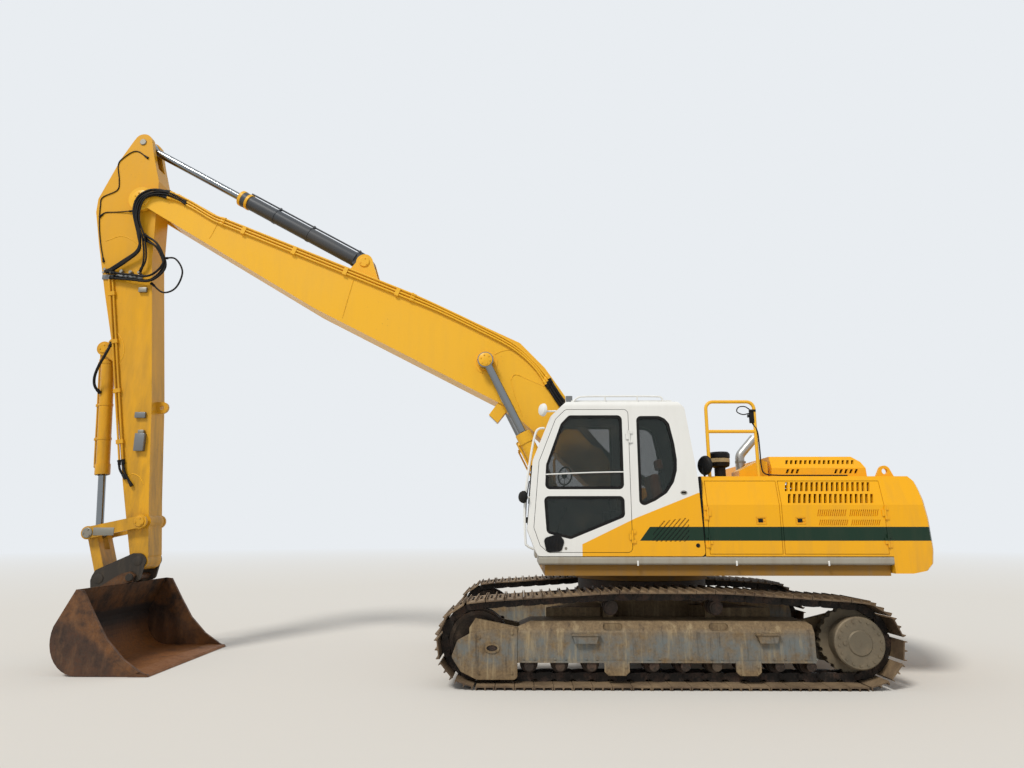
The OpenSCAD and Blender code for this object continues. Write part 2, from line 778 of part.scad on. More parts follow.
module cab_shell() {
    color(white) difference() {
        cab_solid();
        side_view(cab_in_y + cab_wall, half_w - cab_wall) rounded_inner();
        side_view(half_w - 2 * cab_wall, half_w + 10) rounded(door_side, 60);
        side_view(half_w - 2 * cab_wall, half_w + 10) rounded(rear_side_window, 60);
        side_view(cab_in_y - 10, cab_in_y + 2 * cab_wall) rounded(door_window, 60);
        side_view(cab_in_y - 10, cab_in_y + 2 * cab_wall) rounded(rear_side_window, 60);
        windscreen_cut(0);
        rear_window_cut(0);
        roof_hatch_cut(0);
        intake_grooves();
    }
    // Rails over the roof's edges
    color(white) for (y = [cab_in_y + 90, half_w - 110]) {
        translate([-230, y, cab_top - eps]) cube([1250, 18, drip_h + eps]);
    }
    color(white) fixed_hinges(door_hinge_x, cab_hinges, -1);
}

module rounded_inner() {
    offset(delta = -cab_wall) polygon(cab_side);
}

// Skin of the cab's outline, as thick as the glass and set in from the outer face
module glass_skin() {
    side_view(cab_in_y, half_w) difference() {
        offset(delta = -18) polygon(cab_side);
        offset(delta = -18 - glass_t) polygon(cab_side);
    }
}

module pane(points, y0) {
    side_view(y0, y0 + glass_t) offset(delta = -seat) rounded(points, 60);
}

module cab_glass() {
    color(glass_tint) {
        pane(rear_side_window, half_w - 24);
        pane(rear_side_window, cab_in_y + 18);
        pane(door_window, cab_in_y + 18);
        intersection() {
            glass_skin();
            union() {
                windscreen_cut(-seat);
                rear_window_cut(-seat);
                roof_hatch_cut(-seat);
            }
        }
    }
}

module cab_door() {
    color(white) difference() {
        side_view(half_w - cab_wall, half_w) offset(delta = -door_gap) rounded(door_side, 60);
        side_view(half_w - 2 * cab_wall, half_w + 10) rounded(door_window, 60);
        side_view(half_w - 2 * cab_wall, half_w + 10) rounded(door_low_window, 60);
    }
    color(white) for (z = cab_hinges) {
        knuckle(door_hinge_x, hinge_y, z, hinge_h);
        leaf(door_hinge_x, half_w - 1, z, hinge_h, 1);
    }
}

module door_glass() {
    color(glass_tint) {
        pane(door_window, half_w - 24);
        pane(door_low_window, half_w - 24);
    }
}

module operator_seat() {
    mid_y = (cab_in_y + half_w) / 2;
    console_y = (half_w - cab_in_y) / 2 - cab_wall - 150;
    color(dark) {
        translate([20, mid_y - 250, floor_z + cab_wall]) cube([560, 500, 320]);
        translate([-20, mid_y - 260, floor_z + cab_wall + 320]) cube([560, 520, 140]);
        translate([-100, mid_y - 250, floor_z + cab_wall + 320]) cube([120, 500, 820]);
        for (y = [mid_y - console_y - 110, mid_y + console_y])
            translate([0, y, floor_z + cab_wall]) cube([600, 110, 640]);
        translate([1250, mid_y - 60, floor_z + cab_wall]) cube([60, 120, 500]);
    }
}

exhaust_x = -1323;
exhaust_y = 480;
exhaust_r = 60;
exhaust_rise = 300;
exhaust_lean = 42;
exhaust_bend = 130;
exhaust_tail = 270;

// Stack of the exhaust: a straight foot, a bend and an open slanting end
module exhaust() {
    color(steel) {
        translate([exhaust_x, exhaust_y, house_top + seat]) cylinder(r = exhaust_r, h = exhaust_rise - seat);
        translate([exhaust_x - exhaust_bend, exhaust_y, house_top + exhaust_rise]) {
            rotate([90, 0, 0]) rotate_extrude(angle = exhaust_lean)
                translate([exhaust_bend, 0]) circle(r = exhaust_r);
            rotate([0, -exhaust_lean, 0]) translate([exhaust_bend, 0, 0]) difference() {
                cylinder(r = exhaust_r, h = exhaust_tail);
                translate([0, 0, exhaust_tail - 150]) cylinder(r = exhaust_r - 6, h = 150 + eps);
            }
        }
    }
}

module air_intake() {
    color(dark) {
        translate([-910, half_w - 550, house_top + seat]) rotate_extrude() polygon([
            [0, 0], [70, 0], [70, 140], [118, 160], [128, 200], [120, 207], [120, 262], [132, 270],
            [132, 318], [112, 342], [0, 350]
        ]);
    }
}

rail_r = 21;

module post(x, y, z0, z1) {
    translate([x, y, z0]) cylinder(r = rail_r, h = z1 - z0);
}

module bar_x(x0, x1, y, z) {
    translate([x0, y, z]) rotate([0, 90, 0]) cylinder(r = rail_r, h = x1 - x0);
}

bend_r = 90;

// Quarter bend in the side view round [x, z], starting at "turn" degrees
module rail_bend(x, y, z, turn) {
    translate([x, y, z]) rotate([90, 0, 0]) rotate(turn) rotate_extrude(angle = 90)
        translate([bend_r, 0]) circle(r = rail_r);
}

// Upright hoop from x0 to x1 with round upper corners
module rail_hoop(x0, x1, y, z0, z1) {
    post(x0, y, z0, z1 - bend_r);
    post(x1, y, z0, z1 - bend_r);
    bar_x(x0 + bend_r, x1 - bend_r, y, z1);
    rail_bend(x1 - bend_r, y, z1 - bend_r, 0);
    rail_bend(x0 + bend_r, y, z1 - bend_r, 90);
}

module handrails() {
    box_posts = [tank_x + 80, tank_x + box_len - 80];
    roof_y = half_w - 170;
    color(yellow) {
        rail_hoop(-1270, -670, roof_y, house_top, 3300);
        bar_x(-1270, -670, roof_y, 2925);
        rail_hoop(box_posts[0], box_posts[1], 100 - half_w, floor_z + box_h, 2900);
    }
}

// The two front mirror heads as [x, z, radius, turn], on arms that stand off the cab's front
mirror_heads = [[1640, 2114, 88, 60], [1392, 3172, 80, 30]];
mirror_y = half_w - 20;
arm_h = 28;

rear_mirror = [-610, half_w - 115, 2500];

// Round mirror of radius r with a domed back, turned about its own Z
module mirror_head(r) {
    rotate_extrude() polygon([[0, 0], [r * 0.55, 6], [r * 0.9, 26], [r, 44], [r, 52], [0, 52]]);
}

module mirrors() {
    color(black) translate(rear_mirror) rotate([0, 90, 50]) mirror_head(120);
    color(black) translate([rear_mirror[0] + 18, rear_mirror[1] + 22, house_top + seat])
        cylinder(r = 13, h = rear_mirror[2] - house_top - seat);
    color(black) for (m = mirror_heads) {
        translate([m[0] - 26, mirror_y + 20, m[1]]) rotate([0, 90, m[3]]) mirror_head(m[2]);
        side_view(mirror_y - 120, mirror_y + 20) polygon([
            [lookup(m[1] - arm_h / 2, cab_front) + seat, m[1] - arm_h / 2], [m[0], m[1] - arm_h / 2],
            [m[0], m[1] + arm_h / 2], [lookup(m[1] + arm_h / 2, cab_front) + seat, m[1] + arm_h / 2]
        ]);
    }
}

module lamps() {
    color(steel) {
        for (y = [cab_in_y + 200, half_w - 200]) translate([1000, y - 60, cab_top]) cube([80, 120, 90]);
    }
}

// Hydraulic cylinders, drawn along +X from the base eye
gland_len = 150;
piston_len = 90;

module barrel(len, bore, wall, rod_r, eye_r, eye_half, pin_r) {
    neck = eye_r + 60;
    difference() {
        union() {
            cross_bar([0, 0], eye_r, -eye_half, eye_half);
            translate([0, -eye_half, -eye_r * 0.8]) cube([neck + eps, 2 * eye_half, eye_r * 1.6]);
            translate([neck, 0, 0]) rotate([0, 90, 0]) cylinder(r = bore + wall, h = len - neck);
            translate([len - gland_len, 0, 0]) rotate([0, 90, 0])
                cylinder(r = bore + wall + 10, h = gland_len);
        }
        cross_bar([0, 0], pin_r + pin_fit, -eye_half - eps, eye_half + eps);
        translate([neck + 20, 0, 0]) rotate([0, 90, 0]) cylinder(r = bore, h = len - neck - 20 - gland_len);
        translate([len / 2, 0, 0]) rotate([0, 90, 0]) cylinder(r = rod_r + pin_fit, h = len);
    }
}

// Rod from its inner end at start to the centre of its eye at reach
module rod(start, reach, bore, rod_r, eye_r, eye_half) {
    translate([start, 0, 0]) rotate([0, 90, 0]) cylinder(r = rod_r, h = reach - start);
    translate([start, 0, 0]) rotate([0, 90, 0]) cylinder(r = bore - seat, h = piston_len);
    cross_bar([reach, 0], eye_r, -eye_half, eye_half);
}

module lift_barrel() {
    color(yellow) translate([0, lift_y, 0]) along(lift_base, lift_top)
        barrel(lift_len, lift_bore, 18, lift_rod_r, 110, 47, 55);
}

module lift_rod() {
    color(steel) translate([0, lift_y, 0]) along(lift_base, lift_top)
        rod(1000, span(lift_base, lift_top), lift_bore, lift_rod_r, 112, lift_rod_r - 4);
}

module stick_barrel() {
    color(dark) along(stick_base, stick_top) barrel(stick_len, 90, 20, stick_rod_r, 120, 92, 60);
}

module stick_rod() {
    color(steel) along(stick_base, stick_top)
        rod(1600, span(stick_base, stick_top), 90, stick_rod_r, 118, 82);
}

module bucket_barrel() {
    color(yellow) along(bucket_base, lever_end) barrel(bucket_len, 72, 18, bucket_rod_r, 100, 72, 50);
}

module bucket_rod() {
    color(steel) along(bucket_base, lever_end)
        rod(850, span(bucket_base, lever_end), 72, bucket_rod_r, 88, 58);
}

// Boom

fork_half = stick_half + 15;
// Box of the work lamp under the boom's lower bend
boom_lamp = [[1957, 3515], [1819, 3415], [1862, 3360], [1978, 3210], [2098, 3326], [2000, 3460]];
boom_outline = [
    [foot_x + 110, foot_z - 120], [1476, 3089], [1892, 3461], [4679, 4914], [tip_x - 120, tip_z - 160],
    [tip_x + 90, tip_z - 120], [tip_x + 60, tip_z + 160], [tip_x - 120, tip_z + 170],
    [6862, 6749], [6197, 6366],
    [3124, 5078], [1655, 4372], [1298, 3999], [990, 3546], [foot_x - 120, foot_z + 110]
];

module boom_bosses(grow) {
    cross_bar(foot, 150 + grow, -boom_half, boom_half);
    cross_bar(lift_top, 130 + grow, -boom_half, boom_half);
}

module boom() {
    color(yellow) {
        difference() {
            union() {
                side_view(-boom_half, boom_half) offset(r = 60) offset(delta = -60) polygon(boom_outline);
                boom_bosses(0);
                cross_bar(tip, 190, -boom_half, boom_half);
                both_sides() cross_bar(lift_top, 120, boom_half - eps, lift_y - lift_rod_r - side_gap);
            }
            difference() {
                side_view(-boom_half + plate_t, boom_half - plate_t)
                    offset(delta = -plate_t - 6) polygon(boom_outline);
                boom_bosses(0);
                translate([6650, -boom_half, 5500]) cube([100, 2 * boom_half, 1500]);
            }
            // Fork for the stick
            cross_bar(tip, 590, -fork_half, fork_half);
            side_view(-fork_half, fork_half) polygon([
                tip + [-820, -60], tip + [-820, 500], tip + [300, 500], tip + [300, -60]
            ]);
            cross_bar(foot, foot_pin_r + pin_fit, -boom_half - eps, boom_half + eps);
        }
        // Stick pin and the ears of the stick cylinder
        cross_bar(tip, tip_pin_r, -boom_half, boom_half);
        both_sides() side_view(100, 140) {
            polygon([
                stick_base + [-260, -420], stick_base + [260, -170],
                stick_base + [80, 50], stick_base + [-110, 60]
            ]);
            translate(stick_base) circle(r = 125);
        }
        cross_bar(stick_base, 60, -140, 140);
        side_view(100, 240) polygon(boom_lamp);
    }
}

// Straight stretch of the boom's top edge that the pipes follow, and how far below it they lie
pipe_start = [3124, 5078];
pipe_end = [6197, 6366];
pipe_drops = [8, 52, 96];
pipe_r = 14;
pipe_lift = 26;

// Steel pipes along the boom's near side, on four clamps
module boom_pipes() {
    color(yellow) along(pipe_start, pipe_end) {
        for (drop = pipe_drops) translate([120, boom_half + pipe_lift, -drop]) rotate([0, 90, 0])
            cylinder(r = pipe_r, h = span(pipe_start, pipe_end) - 240, $fn = 16);
        for (x = [300, 1150, 2000, 2850])
            translate([x, boom_half + seat, -pipe_drops[2] - 25])
                cube([60, pipe_lift + pipe_r + 6, pipe_drops[2] + 25]);
    }
}

// Stick

back_bend = [6968, 3560];
lug_at = back_bend + [-78, -85];
stick_outline = [
    [tip_x - 80, tip_z + 740], [tip_x - 196, tip_z + 330], [7205, 5709], back_bend, [6850, 2137],
    [bucket_pin_x - 120, bucket_pin_z + 40], [bucket_pin_x + 120, bucket_pin_z - 20], [7255, 2415],
    [7600, 4200], [7860, 5200], [8041, 5956], [8156, 6498], [8150, 6715], [7879, 7392],
    [stick_top[0] + 130, stick_top[1] + 60], [stick_top[0] - 120, stick_top[1] + 80]
];

module stick() {
    color(yellow) {
        difference() {
            union() {
                side_view(-stick_half, stick_half) offset(r = 50) offset(delta = -50) polygon(stick_outline);
                cross_bar(tip, 175, -stick_half - 7, stick_half + 7);
                cross_bar(stick_top, 140, -stick_half, stick_half);
                cross_bar(bucket_pin, 118, -stick_half, stick_half);
                cross_bar(rocker_pin, 110, -stick_half, stick_half);
            }
            difference() {
                side_view(-stick_half + plate_t, stick_half - plate_t)
                    offset(delta = -plate_t - 6) polygon(stick_outline);
                cross_bar(tip, 175, -stick_half, stick_half);
                cross_bar(rocker_pin, 110, -stick_half, stick_half);
                cross_bar(bucket_pin, 118, -stick_half, stick_half);
                translate([7000, -stick_half, tip_z + 380]) cube([1200, 2 * stick_half, plate_t]);
            }
            // Room for the eye of the stick cylinder's rod
            cross_bar(stick_top, 480, -92, 92);
            cross_bar(tip, tip_pin_r + pin_fit, -stick_half - 10, stick_half + 10);
        }
        both_sides() side_view(80, 120) {
            polygon([
                bucket_base + [-60, 110], bucket_base + [-260, 330],
                bucket_base + [-330, -320], bucket_base + [-20, -100]
            ]);
            translate(bucket_base) circle(r = 105);
        }
        cross_bar(bucket_base, 50, -120, 120);
        cross_bar(rocker_pin, end_pin_r, -rocker_out, rocker_out);
        cross_bar(bucket_pin, end_pin_r, -coupler_out, coupler_out);
        // Lifting lug on the back
        side_view(-22, 22) difference() {
            union() {
                translate(lug_at) circle(r = 85);
                translate(lug_at - [0, 85]) square([120, 170]);
            }
            translate(lug_at) circle(r = 32);
        }
    }
}

side_pipe_top = [7750, 5400];
side_pipe_low = [7270, 2700];

// Two pipes down each side of the stick, on four clamps
module stick_pipes() {
    color(yellow) both_sides() along(side_pipe_top, side_pipe_low) {
        for (z = [0, 50]) translate([0, stick_half + pipe_lift, z]) rotate([0, 90, 0])
            cylinder(r = pipe_r, h = span(side_pipe_top, side_pipe_low), $fn = 16);
        for (x = [200, 950, 1700, 2450]) translate([x, stick_half + seat, -25])
            cube([60, pipe_lift + pipe_r + 6, 100]);
    }
}

coupler_in = stick_half + side_gap;
coupler_out = coupler_in + 36;
rocker_in = coupler_out + side_gap;
rocker_out = rocker_in + 40;
link_out = stick_half - 6;
fork_in = 58 + side_gap;

// Two rocker arms, each with its own stub pin for the link
module rocker() {
    color(yellow) both_sides() {
        difference() {
            union() {
                side_view(rocker_in, rocker_out) {
                    translate(rocker_pin) circle(r = 95);
                    translate(lever_end) circle(r = 90);
                    bar_outline(rocker_pin, lever_end, 160);
                }
            }
            cross_bar(rocker_pin, end_pin_r + pin_fit, rocker_in - eps, rocker_out + eps);
        }
        cross_bar(lever_end, end_pin_r, fork_in, rocker_out);
    }
}

// Flat bar in the side view from a to b, width w
module bar_outline(a, b, w) {
    translate(a) rotate(atan2(b[1] - a[1], b[0] - a[0])) translate([0, -w / 2]) square([span(a, b), w]);
}

module bucket_link() {
    color(yellow) difference() {
        union() {
            both_sides() side_view(fork_in, link_out) {
                translate(lever_end) circle(r = 80);
                bar_outline(lever_end, link_end, 130);
            }
            side_view(-link_out, link_out) difference() {
                bar_outline(lever_end, link_end, 130);
                translate(lever_end) circle(r = 270);
            }
            cross_bar(link_end, 82, -link_out, link_out);
        }
        cross_bar(lever_end, end_pin_r + pin_fit, -stick_half, stick_half);
    }
}

module coupler() {
    color(black) {
        both_sides() difference() {
            side_view(coupler_in, coupler_out) {
                offset(r = 60) offset(delta = -60) polygon([
                    bucket_pin + [-110, 60], bucket_pin + [60, 110],
                    link_end + [60, 110], link_end + [110, -20],
                    hook_rear + [110, -60], hook_rear + [-30, -80], bucket_lip + [85, -110],
                    bucket_lip + [20, 25], bucket_lip + [-100, 20],
                    hook_front + [40, -90], hook_front + [-110, -40]
                ]);
                translate(bucket_pin) circle(r = 105);
                translate(link_end) circle(r = 100);
            }
            cross_bar(bucket_pin, end_pin_r + pin_fit, coupler_in - eps, coupler_out + eps);
            cross_bar(hook_front, 45 + seat, coupler_in - eps, coupler_out + eps);
            cross_bar(hook_rear, 45 + seat, coupler_in - eps, coupler_out + eps);
        }
        cross_bar(bucket_pin + [250, -170], 60, -coupler_in - eps, coupler_in + eps);
        both_sides() cross_bar(link_end, 70, link_out + side_gap, coupler_out + 6);
    }
}

// Round back of the bucket: centre and half axes of its ellipse
back_c = [7000, 430];
back_rx = 375;
back_rz = 425;
bucket_tip = [6120, 5];
bucket_lip = [7130, 1010];

// Front edge of the bucket's sides, from the tip up to the lip
side_edge = [[6233, 60], [6450, 200], [6682, 433], [6850, 690], bucket_lip - [90, 10]];

function back_curve(t) = [
    for (a = [-90 : 10 : 20]) back_c + [(back_rx - t) * cos(a), (back_rz - t) * sin(a)]
];

module bucket() {
    color(rust) {
        side_view(-bucket_half, bucket_half) difference() {
            polygon(concat([bucket_tip], back_curve(0), [bucket_lip, bucket_lip - [90, 10]]));
            polygon(concat([bucket_tip + [-80, bucket_t]], back_curve(bucket_t),
                [bucket_lip - [bucket_t + 5, -40], bucket_lip - [900, -40]]));
        }
        both_sides() side_view(bucket_half - bucket_t, bucket_half)
            polygon(concat([bucket_tip], back_curve(0), [
                bucket_lip, side_edge[4], side_edge[3], side_edge[2], side_edge[1], side_edge[0]
            ]));
        both_sides() difference() {
            side_view(coupler_out + side_gap, coupler_out + side_gap + 40) polygon([
                hook_front + [-70, 30], hook_front + [0, 75], hook_front + [120, 50], hook_rear + [60, 70],
                hook_rear + [75, -20], [7345, 560], [7250, 760],
                bucket_lip + [-12, -10], hook_front + [-40, -60]
            ]);
        }
        // Thick cutting edge, side edges and ribs on the back
        side_view(-bucket_half - 12, bucket_half + 12) polygon([
            bucket_tip, bucket_tip + [250, 0], bucket_tip + [250, bucket_t + 14], bucket_tip + [60, 26]
        ]);
        both_sides() side_view(bucket_half - eps, bucket_half + 14) difference() {
            polygon(concat(
                [bucket_tip + [250, 0]], side_edge, [for (i = [4 : -1 : 0]) side_edge[i] + [75, -30]]
            ));
        }
        cross_bar(hook_front, 45, -coupler_out - side_gap - eps, coupler_out + side_gap + eps);
        both_sides() cross_bar(hook_rear, 45, coupler_in, coupler_out + side_gap + eps);
    }
}

centre_frame();
slew_ring();
track_frame();  // track_frame_left
mirror([0, 1, 0]) track_frame();  // track_frame_right
track();  // track_left
mirror([0, 1, 0]) track();  // track_right
idler();  // idler_left
mirror([0, 1, 0]) idler();  // idler_right
sprocket();  // sprocket_left
mirror([0, 1, 0]) sprocket();  // sprocket_right
rollers();  // rollers_left
mirror([0, 1, 0]) rollers();  // rollers_right
swing_frame();
counterweight();
lifting_eyes();
engine_block();
house_frame();
fuel_tank();
walkways();
cab_shell();
cab_glass();
operator_seat();
exhaust();
air_intake();
handrails();
mirrors();
lamps();
cab_door();
door_glass();
service_door(service_doors[0]);  // left_front_door
service_door(service_doors[1]);  // left_rear_door
mirror([0, 1, 0]) service_door(service_doors[0]);  // right_front_door
mirror([0, 1, 0]) service_door(service_doors[1]);  // right_rear_door
engine_hood();
boom();
boom_pipes();
lift_barrel();  // lift_barrel_left
mirror([0, 1, 0]) lift_barrel();  // lift_barrel_right
lift_rod();  // lift_rod_left
mirror([0, 1, 0]) lift_rod();  // lift_rod_right
stick_barrel();
stick_rod();
stick();
stick_pipes();
bucket_barrel();
bucket_rod();
rocker();
bucket_link();
coupler();
bucket();
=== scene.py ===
"""Crawler excavator with a long boom: finishes, hoses and fittings round the fixed frame.

Metres. +X points along the boom, +Y to the cab side and +Z up. The origin lies on the ground under the
swing axis.
"""

import logging
import math
from dataclasses import dataclass, field
from enum import Enum
from typing import Any, Iterable, Sequence

import bmesh
import bpy
from mathutils import Matrix, Quaternion, Vector


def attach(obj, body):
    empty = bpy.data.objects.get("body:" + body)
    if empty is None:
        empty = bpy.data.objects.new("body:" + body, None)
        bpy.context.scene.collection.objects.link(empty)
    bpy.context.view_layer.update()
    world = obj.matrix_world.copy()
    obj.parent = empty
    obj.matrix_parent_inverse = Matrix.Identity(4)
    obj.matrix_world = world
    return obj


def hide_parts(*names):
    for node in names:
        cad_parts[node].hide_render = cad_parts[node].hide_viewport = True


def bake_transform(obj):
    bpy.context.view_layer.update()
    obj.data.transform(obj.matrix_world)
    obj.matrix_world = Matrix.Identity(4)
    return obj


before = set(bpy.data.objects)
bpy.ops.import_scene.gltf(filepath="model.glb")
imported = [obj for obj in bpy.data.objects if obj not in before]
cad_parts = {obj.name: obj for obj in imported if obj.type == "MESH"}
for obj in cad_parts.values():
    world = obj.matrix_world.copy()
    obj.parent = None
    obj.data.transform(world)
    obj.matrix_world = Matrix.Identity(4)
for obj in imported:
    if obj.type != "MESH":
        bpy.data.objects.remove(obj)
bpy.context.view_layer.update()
LOG = logging.getLogger("excavator")

Point = tuple[float, float, float]
Pair = tuple[float, float]
Outline = tuple[Pair, ...]


def circle(middle: Pair, across: float, up: float, steps: int) -> Outline:
    """Draw a circle or an oval.

    Args:
        middle: Its middle.
        across: Half its width.
        up: Half its height.
        steps: Number of corners.

    Returns:
        Its corners.
    """
    turns = (math.tau * index / steps for index in range(steps))
    return tuple((middle[0] + across * math.cos(a), middle[1] + up * math.sin(a)) for a in turns)


def turned(degrees: float) -> Matrix:
    """A turn about the axis across the machine."""
    return Matrix.Rotation(math.radians(degrees), 4, "Y")


def srgb(code: str) -> tuple[float, float, float, float]:
    """Turn a web colour into linear light.

    Args:
        code: Six hexadecimal digits.

    Returns:
        Red, green and blue from 0 to 1, and 1 for the opacity.
    """
    parts = [int(code[i:i + 2], 16) / 255 for i in (0, 2, 4)]
    return (*(p / 12.92 if p <= 0.04045 else ((p + 0.055) / 1.055) ** 2.4 for p in parts), 1.0)


class Tint(str, Enum):
    """Colours of the machine, by what they cover."""

    WHITE = "e0e0dc"
    GREEN = "062a1a"
    GREY = "9a968a"
    CHARCOAL = "2c2e30"
    BLACK = "0c0c0d"
    RUBBER = "111010"
    DUST = "a18b6c"
    CLAY = "7d6a52"
    MUD = "3b2f25"
    RUST = "7a4526"
    # Darker than bare chrome: painted reflection of dark surroundings.
    IRON = "4c4640"
    CHROME = "85898c"
    SEAT = "1d1c1e"
    SEAT_BACK = "9a5a34"


class Axis(Enum):
    """Components of a place on the machine."""

    X = 0
    Y = 1
    Z = 2


class Side(Enum):
    """The machine's two sides, by the sign of their places across it."""

    LEFT = 1
    RIGHT = -1

    @property
    def word(self) -> str:
        """The side's name, as pieces carry it."""
        return self.name.lower()

    def span(self, inner: float, outer: float) -> list[float]:
        """Two places across the machine on this side, the lower first."""
        return sorted((self.value * inner, self.value * outer))


class Wire:
    """One socket of a node; arithmetic on it adds Math nodes."""

    def __init__(self, board: "Board", socket: bpy.types.NodeSocket | None) -> None:
        """Wrap a socket of a board."""
        self.board = board
        self.socket = socket

    def math(self, operation: str, *others: Any, clamp: bool = False) -> "Wire":
        """Add one Math node.

        Args:
            operation: The node's operation.
            others: Values or wires for the other inputs.
            clamp: Whether the result is held between 0 and 1.

        Returns:
            The node's result.
        """
        values = dict(enumerate((self, *others)))
        return self.board.node("ShaderNodeMath", {"operation": operation, "use_clamp": clamp}, values)

    def __add__(self, other: Any) -> "Wire":
        """Sum."""
        return self.math("ADD", other)

    __radd__ = __add__

    def __mul__(self, other: Any) -> "Wire":
        """Product."""
        return self.math("MULTIPLY", other)

    __rmul__ = __mul__

    def __sub__(self, other: Any) -> "Wire":
        """Difference."""
        return self.math("SUBTRACT", other)

    def __rsub__(self, other: float) -> "Wire":
        """Difference from a plain number."""
        return self * -1.0 + other

    def at_least(self, other: Any) -> "Wire":
        """The larger of two values."""
        return self.math("MAXIMUM", other)

    def at_most(self, other: Any) -> "Wire":
        """The smaller of two values."""
        return self.math("MINIMUM", other)

    def rise(self, start: float, end: float) -> "Wire":
        """Go from 0 to 1 between two values, held outside them.

        Args:
            start: Value at which the result is 0.
            end: Value at which the result is 1; it may lie below start.

        Returns:
            The share of the way.
        """
        slope = 1.0 / (end - start)
        return self.math("MULTIPLY_ADD", slope, -start * slope, clamp=True)


class Board:
    """The nodes of a material or a sky under construction."""

    def __init__(self, owner: bpy.types.ID) -> None:
        """Empty the owner's nodes.

        Args:
            owner: The material or the world.
        """
        owner.use_nodes = True
        self.tree = owner.node_tree
        self.tree.nodes.clear()

    def node(self, kind: str, settings: dict[str, Any] | None = None,
             inputs: dict[Any, Any] | None = None, output: Any = 0) -> Wire:
        """Add any node.

        Args:
            kind: The node's type.
            settings: Its own settings, such as a Math node's operation.
            inputs: Values or wires, by the input's name or number.
            output: Name or number of the output that is wanted.

        Returns:
            That output; the tree's last node has none.
        """
        made = self.tree.nodes.new(kind)
        for key, value in (settings or {}).items():
            setattr(made, key, value)
        for key, value in (inputs or {}).items():
            socket = made.inputs[key]
            if isinstance(value, Wire):
                self.tree.links.new(value.socket, socket)
            elif socket.type == "RGBA":
                socket.default_value = srgb(value)
            else:
                socket.default_value = value
        return Wire(self, made.outputs[output] if made.outputs else None)


class Sheet(Board):
    """A material under construction."""

    def __init__(self, name: str) -> None:
        """Start an empty material.

        Args:
            name: The material's name.
        """
        self.material = bpy.data.materials.new(name)
        super().__init__(self.material)
        self.place = self.node("ShaderNodeTexCoord", output="Object")
        self.parts = self.node("ShaderNodeSeparateXYZ", inputs={0: self.place}).socket.node

    def along(self, axis: Axis) -> Wire:
        """The place on the machine along one axis, in metres."""
        return Wire(self, self.parts.outputs[axis.value])

    def vector(self, operation: str, first: Any, second: Any = (0.0, 0.0, 0.0),
               output: str = "Vector") -> Wire:
        """Add one Vector Math node.

        Args:
            operation: The node's operation.
            first: Vector or wire.
            second: Vector or wire.
            output: Which output is wanted.

        Returns:
            The node's result.
        """
        return self.node("ShaderNodeVectorMath", {"operation": operation}, {0: first, 1: second}, output)

    def noise(self, scale: float, detail: float = 4.0, rough: float = 0.6,
              stretch: Point = (1.0, 1.0, 1.0)) -> Wire:
        """Cloudy noise over the machine.

        Args:
            scale: Lumps per metre.
            detail: Octaves.
            rough: Strength of the finer octaves.
            stretch: Factor on each axis, for streaks.

        Returns:
            A value round one half.
        """
        place = self.place
        if stretch != (1.0, 1.0, 1.0):
            place = self.vector("MULTIPLY", place, stretch)
        inputs = {"Vector": place, "Scale": scale, "Detail": detail, "Roughness": rough}
        return self.node("ShaderNodeTexNoise", None, inputs, "Fac")

    def cells(self, scale: float) -> Wire:
        """Cell pattern over the machine, for chips."""
        return self.node("ShaderNodeTexVoronoi", None, {"Vector": self.place, "Scale": scale}, "Distance")

    def blend(self, share: Any, first: Any, second: Any) -> Wire:
        """Mix two colours.

        Args:
            share: How much of the second colour shows.
            first: Colour or wire.
            second: Colour or wire.

        Returns:
            The mixed colour.
        """
        return self.node("ShaderNodeMix", {"data_type": "RGBA"}, {0: share, 6: first, 7: second}, 2)

    def bump(self, height: Wire, depth: float) -> Wire:
        """Turn a height into a normal.

        Args:
            height: The height, from 0 to 1.
            depth: What a height of 1 stands for, in metres.

        Returns:
            The normal.
        """
        return self.node("ShaderNodeBump", None, {"Height": height, "Distance": depth}, "Normal")

    def surface(self, **sockets: Any) -> bpy.types.Material:
        """Finish the material with one Principled shader.

        Args:
            sockets: Values or wires, with _ for a space in a socket's name.

        Returns:
            The material.
        """
        inputs = {key.replace("_", " "): value for key, value in sockets.items()}
        shader = self.node("ShaderNodeBsdfPrincipled", None, inputs)
        self.node("ShaderNodeOutputMaterial", None, {"Surface": shader})
        return self.material


